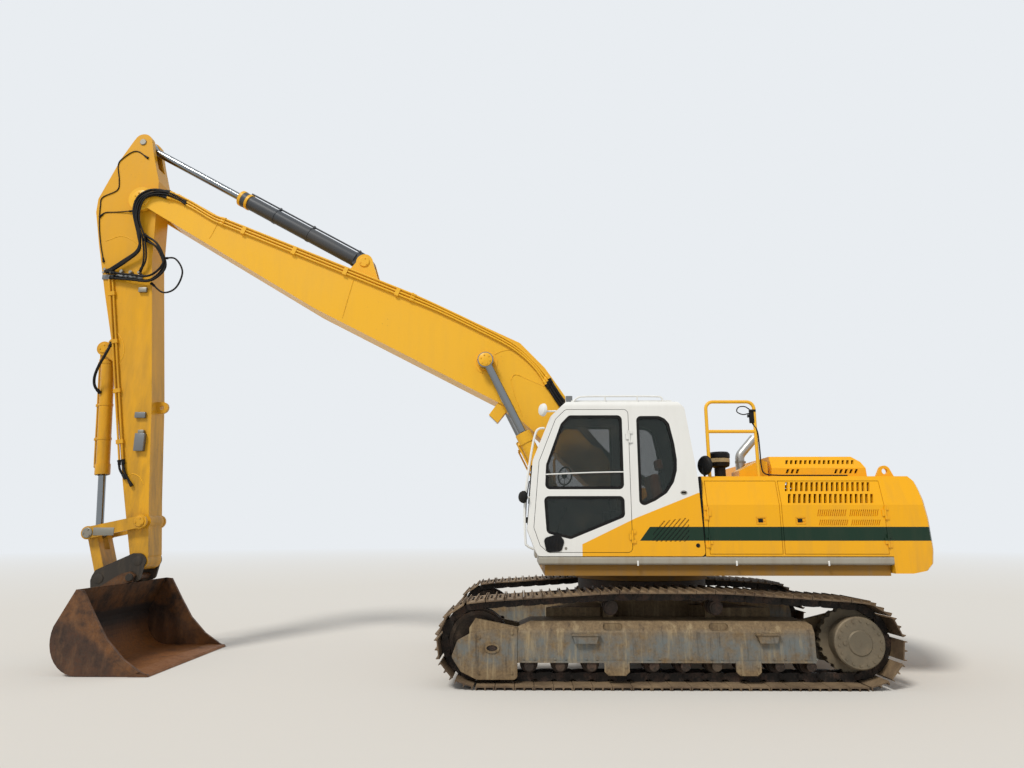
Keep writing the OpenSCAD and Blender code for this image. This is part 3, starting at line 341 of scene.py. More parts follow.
@dataclass(frozen=True)
class Paint:
    """Sprayed paint with dust in the hollows of its orange peel and a few stone chips."""

    name: str
    colour: str
    under: str = Tint.CHARCOAL
    roughness: float = 0.36
    dust: float = 0.14
    chips: float = 0.0
    low: float = 1.15
    high: float = 1.9
    haze: float = 0.05
    coat: float = 0.04
    fall: Point = (1.0, 1.0, 0.16)
    chip_size: Pair = (0.1, 0.07)
    peel_depth: float = 0.0012
    full_dirt: float = 0.85
    dullest: float = 0.95

    def colours(self, sheet: Sheet) -> Wire | str:
        """The clean colour; finishes with stripes override it."""
        return self.colour

    def film(self, sheet: Sheet) -> Wire | float:
        """Share of the dust that stays; smooth stickers keep less."""
        return 1.0

    def make(self) -> bpy.types.Material:
        """Build the material.

        Returns:
            The finished material.
        """
        sheet = Sheet(self.name)
        clouds = sheet.noise(0.9, 3.0)
        streaks = sheet.noise(7.0, 5.0, 0.65, self.fall)
        fine = sheet.noise(60.0, 3.0)
        stays = self.film(sheet)
        haze = clouds.rise(0.35, 0.75) * self.haze * stays
        shade = sheet.blend(haze, self.colours(sheet), Tint.DUST)
        low = sheet.along(Axis.Z).rise(self.high, self.low)
        dirt = ((streaks.rise(0.46, 0.78) * (low * 0.5 + 0.5)) + low * 0.22) * self.dust * 2.2 * stays
        shade = sheet.blend(dirt.at_most(self.full_dirt), shade, Tint.CLAY)
        rough = (clouds * 0.22 + dirt * 0.5 + (self.roughness - 0.1)).at_most(self.dullest)
        height = fine * 0.35 + clouds * 0.4
        if self.chips:
            spots = sheet.cells(16.0).rise(*self.chip_size)
            spots = spots * sheet.noise(2.2).rise(0.62 - self.chips, 0.78 - self.chips)
            shade = sheet.blend(spots, shade, self.under)
            rough = (rough + spots * 0.3).at_most(self.dullest)
            height = height - spots * 0.6
        normal = sheet.bump(height, self.peel_depth)
        return sheet.surface(Base_Color=shade, Roughness=rough, Normal=normal, Coat_Weight=self.coat,
                             Coat_Roughness=0.15, Specular_IOR_Level=0.28)


@dataclass(frozen=True)
class StripedPaint(Paint):
    """The housing's paint with the green band along both sides."""

    stripe: str = Tint.GREEN
    band: Pair = (1.603, 1.764)
    front: Pair = (0.245, 0.121)
    edge: float = 0.0015
    kept_dust: float = 0.25

    def stripe_mask(self, sheet: Sheet) -> Wire:
        """Find the green band, with its slanting front end.

        Args:
            sheet: The material under construction.

        Returns:
            One inside the band.
        """
        height, edge = sheet.along(Axis.Z), self.edge
        (low, high), (low_end, high_end) = self.band, self.front
        inside = height.rise(low - edge, low + edge) * height.rise(high + edge, high - edge)
        lead = sheet.along(Axis.X) - (height - low) * ((high_end - low_end) / (high - low))
        return inside * lead.rise(low_end + edge, low_end - edge)

    def film(self, sheet: Sheet) -> Wire:
        """Less dust on the band."""
        return self.stripe_mask(sheet) * (self.kept_dust - 1.0) + 1.0

    def colours(self, sheet: Sheet) -> Wire:
        """Yellow with the band."""
        return sheet.blend(self.stripe_mask(sheet), self.colour, self.stripe)


@dataclass(frozen=True)
class CabPaint(StripedPaint):
    """White cab whose lower rear corner carries the housing's yellow and band."""

    lower: str = "eaa80c"
    border: Outline = ((-0.52, 2.165), (-0.469, 2.16), (0.282, 1.867), (0.918, 1.566))
    border_end: float = 0.926
    border_edge: float = 0.002
    side: float = 1.35
    # Painted shade for the faces inside the cab.
    cab_inside_shade: str = "323334"
    middle: Point = (0.55, 1.0, 2.3)

    def cab_inside_shade_mask(self, sheet: Sheet) -> Wire:
        """Find the faces that look at the cab's middle, which get painted shade.

        Args:
            sheet: The material under construction.

        Returns:
            One on those faces.
        """
        normal = sheet.node("ShaderNodeTexCoord", output="Normal")
        towards = sheet.vector("SUBTRACT", self.middle, sheet.place)
        return sheet.vector("DOT_PRODUCT", normal, towards, "Value").rise(0.0, 0.02)

    def colours(self, sheet: Sheet) -> Wire:
        """White above the slanting line, yellow under it and painted shade on the faces that look into the
        cab.

        Args:
            sheet: The material under construction.

        Returns:
            The colour.
        """
        x, z, edge = sheet.along(Axis.X), sheet.along(Axis.Z), self.border_edge
        border = None
        for (x0, z0), (x1, z1) in zip(self.border, self.border[1:]):
            line = (x - x0) * ((z1 - z0) / (x1 - x0)) + z0
            border = line if border is None else border.at_most(line)
        under = (border - z).rise(-edge, edge) * x.rise(self.border_end + edge, self.border_end - edge)
        outside = sheet.along(Axis.Y).rise(self.side, self.side + 0.01)
        livery = sheet.blend(self.stripe_mask(sheet), self.lower, self.stripe)
        cab_inside_shade = self.cab_inside_shade_mask(sheet)
        # Faces that look into the cab get painted shade.
        return sheet.blend(cab_inside_shade, sheet.blend(under * outside, self.colour, livery), self.cab_inside_shade)


@dataclass(frozen=True)
class StickPaint(Paint):
    """Paint with brown runs, more so lower down: partly splashed earth, partly painted shade."""

    # Brown of the runs: dirt and painted shade.
    grime_and_shade: str = "63502c"
    clean_above: float = 6.4
    brown_below: float = 1.6

    def colours(self, sheet: Sheet) -> Wire:
        """Yellow with brown runs of dirt and painted shade.

        Args:
            sheet: The material under construction.

        Returns:
            The colour.
        """
        # The runs grow towards the bottom: partly dirt, partly painted shade.
        runs = sheet.noise(6.0, 5.0, 0.66, (1.0, 1.0, 0.2))
        spread = sheet.along(Axis.Z).rise(self.clean_above, self.brown_below)
        return sheet.blend(runs.rise(0.36, 0.68) * spread * 0.6, self.colour, self.grime_and_shade)


@dataclass(frozen=True)
class WornIron:
    """Bare working steel: rust, dried clay and rubbed edges."""

    name: str
    base: str = Tint.IRON
    rust: str = Tint.RUST
    dust: str = Tint.DUST
    rusty: float = 0.5
    dusty: float = 0.5
    top_dust: float = 0.4
    pits: float = 0.003

    def make(self) -> bpy.types.Material:
        """Build the material.

        Returns:
            The finished material.
        """
        sheet = Sheet(self.name)
        broad = sheet.noise(1.6, 5.0, 0.62)
        patch = sheet.noise(5.5, 6.0, 0.7)
        grain = sheet.noise(42.0, 4.0, 0.7)
        rust = (patch * 0.6 + grain * 0.4).rise(0.66 - 0.3 * self.rusty, 0.78 - 0.3 * self.rusty)
        shade = sheet.blend(rust, self.base, sheet.blend(grain.rise(0.35, 0.7), self.rust, Tint.MUD))
        normal = sheet.node("ShaderNodeNewGeometry", output="Normal")
        up = sheet.node("ShaderNodeSeparateXYZ", inputs={0: normal}, output=2)
        settle = up.rise(0.2, 0.9) * self.top_dust
        dust = (broad.rise(0.62 - 0.35 * self.dusty, 0.86 - 0.35 * self.dusty) * self.dusty + settle)
        dust = (dust * (grain * 0.7 + 0.55)).at_most(0.92)
        shade = sheet.blend(dust, shade, sheet.blend(patch.rise(0.3, 0.7), self.dust, Tint.CLAY))
        rough = (rust * 0.2 + dust * 0.25 + 0.55).at_most(0.97)
        height = grain * 0.6 + patch * 0.7 + rust * 0.15
        bare = 1.0 - (rust + dust).at_most(1.0)
        return sheet.surface(Base_Color=shade, Roughness=rough, Metallic=bare * 0.55,
                             Normal=sheet.bump(height, self.pits))


@dataclass(frozen=True)
class FrameIron(WornIron):
    """Track frame steel: blue-grey in the middle, brown at its top and foot, with runs of dried mud."""

    foot: Pair = (0.18, 0.3)
    brow: Pair = (0.64, 0.5)
    fall: Point = (1.0, 1.0, 0.12)

    def make(self) -> bpy.types.Material:
        """Build the material.

        Returns:
            The finished material.
        """
        sheet = Sheet(self.name)
        patch = sheet.noise(4.0, 6.0, 0.72)
        grain = sheet.noise(36.0, 4.0, 0.7)
        runs = sheet.noise(11.0, 5.0, 0.7, self.fall)
        height = sheet.along(Axis.Z)
        middle = height.rise(*self.foot) * height.rise(*self.brow)
        shade = sheet.blend(grain.rise(0.4, 0.8) * 0.7, self.rust, Tint.MUD)
        shade = sheet.blend(middle * patch.rise(0.64, 0.4), shade, self.base)
        light, dark = runs.rise(0.52, 0.7) * 0.7, runs.rise(0.43, 0.3) * 0.7
        shade = sheet.blend(dark, sheet.blend(light, shade, self.dust), Tint.MUD)
        rough = (grain * 0.3 + 0.6).at_most(0.95)
        return sheet.surface(Base_Color=shade, Roughness=rough, Metallic=middle * 0.2,
                             Normal=sheet.bump(grain * 0.6 + patch * 0.7, self.pits))


@dataclass(frozen=True)
class BucketIron(WornIron):
    """Digging iron: painted shade near black high inside the bowl, orange rust where earth lay on the floor,
    edges rubbed bare.
    """

    floor_rust: Pair = (0.46, 0.12)
    shadow: Pair = (0.26, 0.52)
    walls: Pair = (1.075, 1.06)
    # Painted shade colour inside the bowl.
    bowl_shade: str = "0d0b0a"
    orange: str = "854f0f"
    rubbed: str = "86603f"
    edge: Outline = ((6.12, 0.0), (6.45, 0.2), (6.69, 0.43), (6.86, 0.69), (7.05, 1.02))

    def edge_mask(self, sheet: Sheet) -> Wire:
        """Find the side plates' front edges.

        Args:
            sheet: The material under construction.

        Returns:
            One along the edges, fading backwards.
        """
        x, z = sheet.along(Axis.X), sheet.along(Axis.Z)
        front = None
        for (x0, z0), (x1, z1) in zip(self.edge, self.edge[1:]):
            line = (z - z0) * ((x1 - x0) / (z1 - z0)) + x0
            front = line if front is None else front.at_least(line)
        return (x - front).rise(0.11, 0.01)

    def make(self) -> bpy.types.Material:
        """Build the material.

        Returns:
            The finished material.
        """
        sheet = Sheet(self.name)
        patch = sheet.noise(4.5, 6.0, 0.7)
        grain = sheet.noise(38.0, 4.0, 0.7)
        streak = sheet.noise(9.0, 4.0, 0.6, (1.0, 3.5, 0.3))
        rust = (patch * 0.6 + grain * 0.4).rise(0.38, 0.6)
        shade = sheet.blend(rust, self.base, sheet.blend(grain.rise(0.35, 0.7), self.rust, Tint.MUD))
        shade = sheet.blend(streak.rise(0.5, 0.75) * 0.4, shade, self.rubbed)
        height = sheet.along(Axis.Z)
        inside = sheet.along(Axis.Y).math("ABSOLUTE").rise(*self.walls)
        floor = height.rise(*self.floor_rust) * inside * patch.rise(0.2, 0.45)
        # Painted shade: the inner walls go near black higher up.
        shade = sheet.blend(inside * height.rise(*self.shadow) * 0.85, shade, self.bowl_shade)
        shade = sheet.blend(floor * 0.9, shade, sheet.blend(grain.rise(0.35, 0.75), self.orange, self.rust))
        wear = self.edge_mask(sheet) * patch.rise(0.36, 0.62)
        shade = sheet.blend(wear * 0.5, shade, sheet.blend(grain.rise(0.4, 0.6), self.rubbed, self.orange))
        rough = (rust * 0.2 + 0.62 - wear * 0.25).at_most(0.95)
        return sheet.surface(Base_Color=shade, Roughness=rough, Metallic=(1.0 - rust) * 0.35 + wear * 0.25,
                             Normal=sheet.bump(grain * 0.6 + patch * 0.7, self.pits))


@dataclass(frozen=True)
class Plain:
    """Plastic, rubber, chrome and other fittings with a little wear in their gloss."""

    name: str
    colour: str
    roughness: float = 0.5
    metallic: float = 0.0
    dust: float = 0.12
    grain: float = 90.0
    depth: float = 0.0006

    def make(self) -> bpy.types.Material:
        """Build the material.

        Returns:
            The finished material.
        """
        sheet = Sheet(self.name)
        clouds = sheet.noise(4.0, 4.0)
        fine = sheet.noise(self.grain, 2.0)
        film = clouds.rise(0.46, 0.85) * self.dust
        shade = sheet.blend(film, sheet.blend(fine * 0.06, self.colour, Tint.CHARCOAL), Tint.DUST)
        rough = (fine * 0.1 + film * 0.6 + self.roughness).at_most(0.95)
        gleam = 0.5 if self.metallic else 0.2
        return sheet.surface(Base_Color=shade, Roughness=rough, Metallic=self.metallic,
                             Normal=sheet.bump(fine, self.depth), Specular_IOR_Level=gleam)


@dataclass(frozen=True)
class Pane:
    """Tinted window glass."""

    name: str
    colour: str = "1d2723"
    alpha: float = 0.42

    def make(self) -> bpy.types.Material:
        """Build the material.

        Returns:
            The finished material.
        """
        sheet = Sheet(self.name)
        film = sheet.noise(3.0, 3.0).rise(0.5, 0.9)
        shade = sheet.blend(film * 0.12, self.colour, Tint.DUST)
        return sheet.surface(Base_Color=shade, Roughness=0.04, Alpha=film * 0.06 + self.alpha,
                             Specular_IOR_Level=0.6)


@dataclass(frozen=True)
class Cloth:
    """Woven or leather-like seat cover."""

    name: str
    colour: str
    thread: float = 620.0

    def make(self) -> bpy.types.Material:
        """Build the material.

        Returns:
            The finished material.
        """
        sheet = Sheet(self.name)
        warp = (sheet.along(Axis.X) * self.thread).math("SINE")
        weave = warp * (sheet.along(Axis.Y) * self.thread).math("SINE")
        clouds = sheet.noise(9.0, 4.0)
        shade = sheet.blend(weave * 0.18 + clouds * 0.35, self.colour, Tint.CHARCOAL)
        return sheet.surface(Base_Color=shade, Roughness=clouds * 0.15 + 0.75, Sheen_Weight=0.3,
                             Normal=sheet.bump(weave * 0.5 + clouds, 0.0008))


@dataclass(frozen=True)
class Lens:
    """Lamp lens over a bright reflector."""

    name: str
    colour: str = "d9dcdc"
    ribs: float = 320.0

    def make(self) -> bpy.types.Material:
        """Build the material.

        Returns:
            The finished material.
        """
        sheet = Sheet(self.name)
        ribs = (sheet.along(Axis.Y) * self.ribs).math("SINE") * 0.5 + 0.5
        shade = sheet.blend(ribs * 0.5, self.colour, Tint.GREY)
        return sheet.surface(Base_Color=shade, Roughness=ribs * 0.1 + 0.08, Metallic=0.5, Coat_Weight=1.0,
                             Normal=sheet.bump(ribs, 0.002))


class Finishes:
    """All materials of the machine, made on first use."""

    ALL = (
        StripedPaint("housing_paint", "eaa80c", haze=0.025),
        Paint("arm_paint", "eab027", dust=0.07, chips=0.06, low=0.2, high=2.4),
        # The stick's yellow is a little darker than the boom's: painted shade.
        StickPaint("stick_paint", "db9f18", dust=0.1, chips=0.08, low=0.2, high=3.4),
        Paint("trim_paint", Tint.WHITE, roughness=0.4, dust=0.05),
        CabPaint("cab_paint", Tint.WHITE, dust=0.06),
        Paint("deck_paint", Tint.GREY, roughness=0.5, dust=0.3, low=1.1, high=1.5),
        # Skirt yellow darkened to brown: painted shade under the walkway rail.
        Paint("skirt_paint", "8f6516", roughness=0.6, dust=0.35, low=1.1, high=1.5),
        Paint("barrel_paint", "3c4147", roughness=0.4, dust=0.05, low=0.0, high=1.0),
        Paint("coupler_paint", "201f1e", roughness=0.42, dust=0.2, chips=0.16, low=0.2, high=2.0),
        FrameIron("frame_steel", "696d6b", "7b6648", "a3916f"),
        WornIron("shoe_steel", "574738", "6b4a30", "977f5f", 0.45, 0.65, 0.45),
        WornIron("chain_steel", "2f2721", "4f3020", "7d6950", 0.6, 0.35, 0.2, 0.002),
        # Links near black: dark steel, deepened with painted shade under the deck.
        WornIron("link_steel", "1e1a17", "3f2417", "5d4a38", 0.6, 0.25, 0.1, 0.002),
        WornIron("hub_iron", "6b6252", "6b5236", "9c8c70", 0.35, 0.6, 0.3, 0.003),
        BucketIron("bucket_steel", "2c2019", "5a3419"),
        WornIron("engine_iron", "33312f", rusty=0.2, dusty=0.3, top_dust=0.3),
        Plain("rod_chrome", Tint.CHROME, 0.16, 1.0, 0.04),
        Plain("pipe_steel", "a9a9a6", 0.35, 0.9, 0.15),
        Plain("hose_rubber", Tint.RUBBER, 0.55, 0.0, 0.06, 240.0),
        Plain("black_plastic", Tint.BLACK, 0.45, 0.0, 0.06),
        Plain("cab_trim", "1c1d1f", 0.6, 0.0, 0.05),
        Plain("seal_rubber", "0a0a0b", 0.55, 0.0, 0.03, 160.0, 0.0004),
        Plain("lamp_shell", "77797a", 0.3, 0.6, 0.1),
        Plain("filter_band", "b3a27c", 0.5, 0.0, 0.3),
        Plain("zinc_bolts", "8d8a80", 0.4, 0.8, 0.3),
        Plain("mirror_glass", "cfd6da", 0.03, 1.0, 0.02),
        Cloth("seat_cloth", Tint.SEAT),
        Cloth("seat_back_cloth", Tint.SEAT_BACK),
        Lens("lamp_lens"),
        Pane("window_glass"),
    )

    def __init__(self) -> None:
        """Start with no materials."""
        self.made: dict[str, bpy.types.Material] = {}

    def get(self, name: str) -> bpy.types.Material:
        """Find a material, and make it when it is first wanted.

        Args:
            name: The finish's name.

        Returns:
            Its material.
        """
        if name not in self.made:
            self.made[name] = next(f for f in self.ALL if f.name == name).make()
        return self.made[name]


FINISHES = Finishes()

NODE_FINISH = {
    "housing_paint": ("house_frame", "counterweight", "lifting_eyes", "fuel_tank", "left_front_door",
                      "left_rear_door", "right_front_door", "right_rear_door", "engine_hood"),
    "arm_paint": ("boom", "boom_pipes", "lift_barrel_left", "lift_barrel_right", "handrails"),
    "stick_paint": ("stick", "stick_pipes", "bucket_barrel", "rocker", "bucket_link"),
    "skirt_paint": ("swing_frame",),
    "deck_paint": ("walkways",),
    "cab_paint": ("cab_shell", "cab_door"),
    "window_glass": ("cab_glass", "door_glass"),
    "cab_trim": ("operator_seat",),
    "black_plastic": ("mirrors", "air_intake"),
    "lamp_shell": ("lamps",),
    "pipe_steel": ("exhaust",),
    "rod_chrome": ("lift_rod_left", "lift_rod_right", "stick_rod", "bucket_rod"),
    "barrel_paint": ("stick_barrel",),
    "coupler_paint": ("coupler",),
    "bucket_steel": ("bucket",),
    "frame_steel": ("centre_frame", "track_frame_left", "track_frame_right"),
    "shoe_steel": ("track_left", "track_right"),
    "chain_steel": ("slew_ring", "idler_left", "idler_right", "rollers_left", "rollers_right"),
    "hub_iron": ("sprocket_left", "sprocket_right"),
    "engine_iron": ("engine_block",),
}


def dress_nodes() -> None:
    """Give every node of the frame its finish."""
    for finish, names in NODE_FINISH.items():
        for name in names:
            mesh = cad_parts[name].data
            mesh.materials.clear()
            mesh.materials.append(FINISHES.get(finish))
            LOG.info("node %s wears %s", name, finish)


def add_object(name: str, data: bpy.types.ID) -> bpy.types.Object:
    """Put a new object into the scene.

    Args:
        name: The object's name.
        data: Its mesh, lamp or camera.

    Returns:
        The object.
    """
    made = bpy.data.objects.new(name, data)
    bpy.context.scene.collection.objects.link(made)
    return made


@dataclass
class Studio:
    """Floor, sky, lamps and the camera at the photograph's place."""

    eye: Point = (1.66, 9.755, 1.73)
    pitch_deg: float = 12.1
    yaw_deg: float = 0.67
    lens_mm: float = 23.9
    floor_size: float = 400.0
    floor_tint: str = "d3d0ca"
    sky_tint: str = "e9edf1"
    key_strength: float = 2.4
    fill_strength: float = 0.62
    fill_tint: str = "f1f4f8"
    haze_from_to: Pair = (14.0, 60.0)
    key_tint: Point = (1.0, 0.97, 0.92)
    key_line: Point = (-0.45, -0.75, -1.0)
    key_spread_deg: float = 14.0

    def build(self) -> None:
        """Make all of it."""
        bpy.context.scene.view_settings.view_transform = "Standard"
        self.make_camera()
        self.make_sky()
        self.make_floor()
        self.make_sun()

    def make_camera(self) -> None:
        """Set the camera by the tracks, looking slightly up."""
        data = bpy.data.cameras.new("camera")
        data.sensor_width = 36.0
        data.lens = self.lens_mm
        data.clip_end = 1000.0
        camera = add_object("camera", data)
        camera.location = self.eye
        camera.rotation_euler = (math.radians(90 + self.pitch_deg), 0.0, math.radians(180 + self.yaw_deg))
        bpy.context.scene.camera = camera

    def make_sky(self) -> None:
        """Pale sky that shows as it is written and lights the machine more softly."""
        world = bpy.data.worlds.new("sky")
        bpy.context.scene.world = world
        board = Board(world)
        seen = board.node("ShaderNodeLightPath", output="Is Camera Ray")
        mirrored = board.node("ShaderNodeLightPath", output="Is Glossy Ray")
        light = board.node("ShaderNodeBackground", None,
                           {"Color": self.fill_tint, "Strength": self.fill_strength})
        shown = board.node("ShaderNodeBackground", None, {"Color": self.sky_tint})
        mixed = board.node("ShaderNodeMixShader", None, {0: seen.at_least(mirrored), 1: light, 2: shown})
        board.node("ShaderNodeOutputWorld", None, {"Surface": mixed})

    def make_floor(self) -> None:
        """Plain pale floor."""
        bm = bmesh.new()
        bmesh.ops.create_grid(bm, x_segments=1, y_segments=1, size=self.floor_size / 2)
        mesh = bpy.data.meshes.new("floor")
        bm.to_mesh(mesh)
        bm.free()
        floor = add_object("floor", mesh)
        sheet = Sheet("floor")
        far = sheet.vector("LENGTH", sheet.place, output="Value").rise(*self.haze_from_to)
        ground = sheet.node("ShaderNodeBsdfDiffuse", None, {"Color": self.floor_tint})
        haze = sheet.node("ShaderNodeEmission", None, {"Color": self.sky_tint})
        mixed = sheet.node("ShaderNodeMixShader", None, {0: far, 1: ground, 2: haze})
        sheet.node("ShaderNodeOutputMaterial", None, {"Surface": mixed})
        floor.data.materials.append(sheet.material)

    def make_sun(self) -> None:
        """One wide soft key light from the front left."""
        data = bpy.data.lights.new("key", "SUN")
        data.energy = self.key_strength
        data.angle = math.radians(self.key_spread_deg)
        data.color = self.key_tint
        key = add_object("key", data)
        key.rotation_euler = Vector(self.key_line).to_track_quat("-Z", "Y").to_euler()


def smooth_path(points: Sequence[Point], per_span: int) -> list[Vector]:
    """Run a Catmull-Rom curve through some points.

    Args:
        points: Places that the curve passes, in order.
        per_span: Steps between two of them.

    Returns:
        The curve's points, ends included.
    """
    knots = [Vector(p) for p in points]
    padded = [2 * knots[0] - knots[1], *knots, 2 * knots[-1] - knots[-2]]
    curve = []
    for a, b, c, d in zip(padded, padded[1:], padded[2:], padded[3:]):
        for step in range(per_span):
            t = step / per_span
            curve.append(0.5 * (2 * b + (c - a) * t + (2 * a - 5 * b + 4 * c - d) * t ** 2
                                + (3 * b - a - 3 * c + d) * t ** 3))
    return [*curve, knots[-1]]


def rounded_outline(points: Sequence[Pair], radius: float) -> list[Pair]:
    """Round every corner of a closed outline.

    Args:
        points: The outline's corners.
        radius: Radius of the rounding, smaller where a side is too short for it.

    Returns:
        The rounded outline.
    """
    steps = 5
    made = []
    for index, point in enumerate(points):
        corner = Vector(point)
        before = Vector(points[index - 1]) - corner
        after = Vector(points[(index + 1) % len(points)]) - corner
        half = before.angle(after) / 2
        cut = min(radius / math.tan(half), 0.45 * min(before.length, after.length))
        before.normalize()
        after.normalize()
        centre = corner + (before + after).normalized() * (cut / math.cos(half))
        first, last = corner + before * cut - centre, corner + after * cut - centre
        for step in range(steps + 1):
            spoke = first.lerp(last, step / steps).normalized() * first.length
            made.append(tuple(centre + spoke))
    return made


class Form:
    """A mesh under construction, in metres in the machine's frame."""

    SAME_PLACE = 1e-5
    SHARP_DEG = 28.0
    HEAD_RADIUS = 0.011
    HEAD_SINK = 0.001

    def __init__(self) -> None:
        """Start with an empty mesh."""
        self.bm = bmesh.new()

    def soften(self, verts: Iterable[bmesh.types.BMVert], radius: float, segments: int = 1) -> None:
        """Round the sharp edges between some vertices.

        Args:
            verts: The vertices.
            radius: Width of the rounding.
            segments: Steps of the rounding.
        """
        inside = set(verts)
        edges = {e for v in inside for e in v.link_edges if e.other_vert(v) in inside}
        sharp = [e for e in edges
                 if len(e.link_faces) == 2 and e.calc_face_angle(0.0) > math.radians(self.SHARP_DEG)]
        bmesh.ops.bevel(self.bm, geom=sharp, offset=radius, segments=segments, profile=0.5, affect="EDGES",
                        material=-1, clamp_overlap=True)

    def block(self, low: Point, high: Point, radius: float = 0.0, segments: int = 2,
              turn: Matrix | None = None) -> "Form":
        """Add a box.

        Args:
            low: Lowest corner.
            high: Highest corner.
            radius: Rounding of its edges.
            segments: Steps of the rounding.
            turn: Turn about the box's middle.

        Returns:
            The form.
        """
        first, last = Vector(low), Vector(high)
        size = Matrix.Diagonal((*(last - first), 1.0))
        place = Matrix.Translation((first + last) / 2) @ (turn or Matrix()) @ size
        made = bmesh.ops.create_cube(self.bm, size=1.0, matrix=place)
        if radius:
            self.soften(made["verts"], radius, segments)
        return self

    def prism(self, outline: Sequence[Pair], low: float, high: float, radius: float = 0.0) -> "Form":
        """Add an outline seen from the machine's side and extruded across it.

        Args:
            outline: Closed outline, forwards and up.
            low: Start across the machine.
            high: End across the machine.
            radius: Rounding of its edges.

        Returns:
            The form.
        """
        face = self.flat_face(outline, low)
        base = list(face.verts)
        top = self.raise_faces([face], high - low)
        if radius:
            self.soften([*base, *top], radius)
        return self

    def flat_face(self, outline: Sequence[Pair], level: float) -> bmesh.types.BMFace:
        """Add one face with an outline seen from the machine's side.

        Args:
            outline: Closed outline, forwards and up.
            level: Place across the machine.

        Returns:
            The face.
        """
        face = self.bm.faces.new([self.bm.verts.new((x, level, z)) for x, z in outline])
        face.normal_update()
        return face

    def raise_faces(self, faces: list[bmesh.types.BMFace], height: float) -> list[bmesh.types.BMVert]:
        """Extrude some faces across the machine.

        Args:
            faces: The faces.
            height: How far they move.

        Returns:
            The moved vertices.
        """
        made = bmesh.ops.extrude_face_region(self.bm, geom=faces)["geom"]
        top = [v for v in made if isinstance(v, bmesh.types.BMVert)]
        bmesh.ops.translate(self.bm, verts=top, vec=(0.0, height, 0.0))
        return top

    def ring(self, outline: Sequence[Pair], low: float, high: float, width: float) -> "Form":
        """Add a frame of even width that follows an outline on its inside.

        Args:
            outline: Closed outline, forwards and up.
            low: Start across the machine.
            high: End across the machine.
            width: Width of the frame.

        Returns:
            The form.
        """
        face = self.flat_face(outline, low)
        rim = bmesh.ops.inset_region(self.bm, faces=[face], thickness=width, use_even_offset=True,
                                     use_boundary=True)["faces"]
        bmesh.ops.delete(self.bm, geom=[face], context="FACES_ONLY")
        self.raise_faces(rim, high - low)
        return self

    def cap(self, centre: Point, axis: Point, radius: float, height: float, bolts: int = 0) -> "Form":
        """Add a round cover with a chamfered rim and a circle of bolts.

        Args:
            centre: Middle of its foot.
            axis: Direction that it faces.
            radius: Its radius.
            height: Its height.
            bolts: Number of bolts.

        Returns:
            The form.
        """
        line = Vector(axis).normalized()
        self.spin([(0.0, height), (radius * 0.88, height), (radius, height * 0.6), (radius, 0.0), (0.0, 0.0)],
                  centre, axis, 28)
        self.bolt_circle(Vector(centre) + line * height, line, radius * 0.68, bolts, self.HEAD_RADIUS)
        return self

    def caps(self, x: float, half: float, z: float, radius: float, height: float, bolts: int = 0) -> "Form":
        """Add a cover on both ends of a pin that lies across the machine.

        Args:
            x: The pin's place along the machine.
            half: Half its length.
            z: Its height above the ground.
            radius: The covers' radius.
            height: The covers' height.
            bolts: Number of bolts on each.

        Returns:
            The form.
        """
        for hand in (-1, 1):
            self.cap((x, hand * half, z), (0.0, float(hand), 0.0), radius, height, bolts)
        return self

    def bolt_circle(self, centre: Vector, line: Vector, radius: float, count: int, bolt: float) -> "Form":
        """Add hexagon heads on a circle.

        Args:
            centre: Middle of the circle.
            line: Direction that the heads face.
            radius: Radius of the circle.
            count: Number of heads.
            bolt: Radius of a head.

        Returns:
            The form.
        """
        out = line.orthogonal().normalized()
        for index in range(count):
            spoke = Quaternion(line, math.tau * (index + 0.5) / count) @ out
            foot = centre + spoke * radius - line * self.HEAD_SINK
            self.rod(foot, foot + line * bolt * 0.9, bolt, sides=6)
        return self

    def rod(self, start: Point, end: Point, radius: float, far_radius: float | None = None,
            sides: int = 20, soft: float = 0.0) -> "Form":
        """Add a round bar or a cone.

        Args:
            start: Middle of its first end.
            end: Middle of its last end.
            radius: Radius at the start.
            far_radius: Radius at the end, if it differs.
            sides: Sides of the round.
            soft: Rounding of its rims.

        Returns:
            The form.
        """
        first, last = Vector(start), Vector(end)
        turn = (last - first).to_track_quat("Z", "Y").to_matrix().to_4x4()
        made = bmesh.ops.create_cone(
            self.bm, cap_ends=True, segments=sides, radius1=radius,
            radius2=radius if far_radius is None else far_radius, depth=(last - first).length,
            matrix=Matrix.Translation((first + last) / 2) @ turn)
        if soft:
            self.soften(made["verts"], soft)
        return self

    def tube(self, points: Sequence[Vector], radius: float, sides: int = 10) -> "Form":
        """Add a round bar along a path.

        Args:
            points: The path.
            radius: The bar's radius.
            sides: Sides of the round.

        Returns:
            The form.
        """
        ahead, behind = [*points[1:], points[-1]], [points[0], *points[:-1]]
        tangents = [(b - a).normalized() for a, b in zip(behind, ahead)]
        side = tangents[0].orthogonal().normalized()
        places = []
        for spot, tangent in zip(points, tangents):
            side = (side - tangent * side.dot(tangent)).normalized()
            turn = Matrix((side, tangent.cross(side), tangent)).transposed().to_4x4()
            places.append(Matrix.Translation(spot) @ turn)
        ring = bmesh.ops.create_circle(self.bm, cap_ends=True, segments=sides, radius=radius,
                                       matrix=places[0])
        first = face = ring["verts"][0].link_faces[0]
        for before, after in zip(places, places[1:]):
            made = bmesh.ops.extrude_face_region(self.bm, geom=[face])["geom"]
            if face is not first:
                bmesh.ops.delete(self.bm, geom=[face], context="FACES_ONLY")
            face = next(g for g in made if isinstance(g, bmesh.types.BMFace))
            bmesh.ops.transform(self.bm, matrix=after @ before.inverted(), verts=face.verts)
        return self

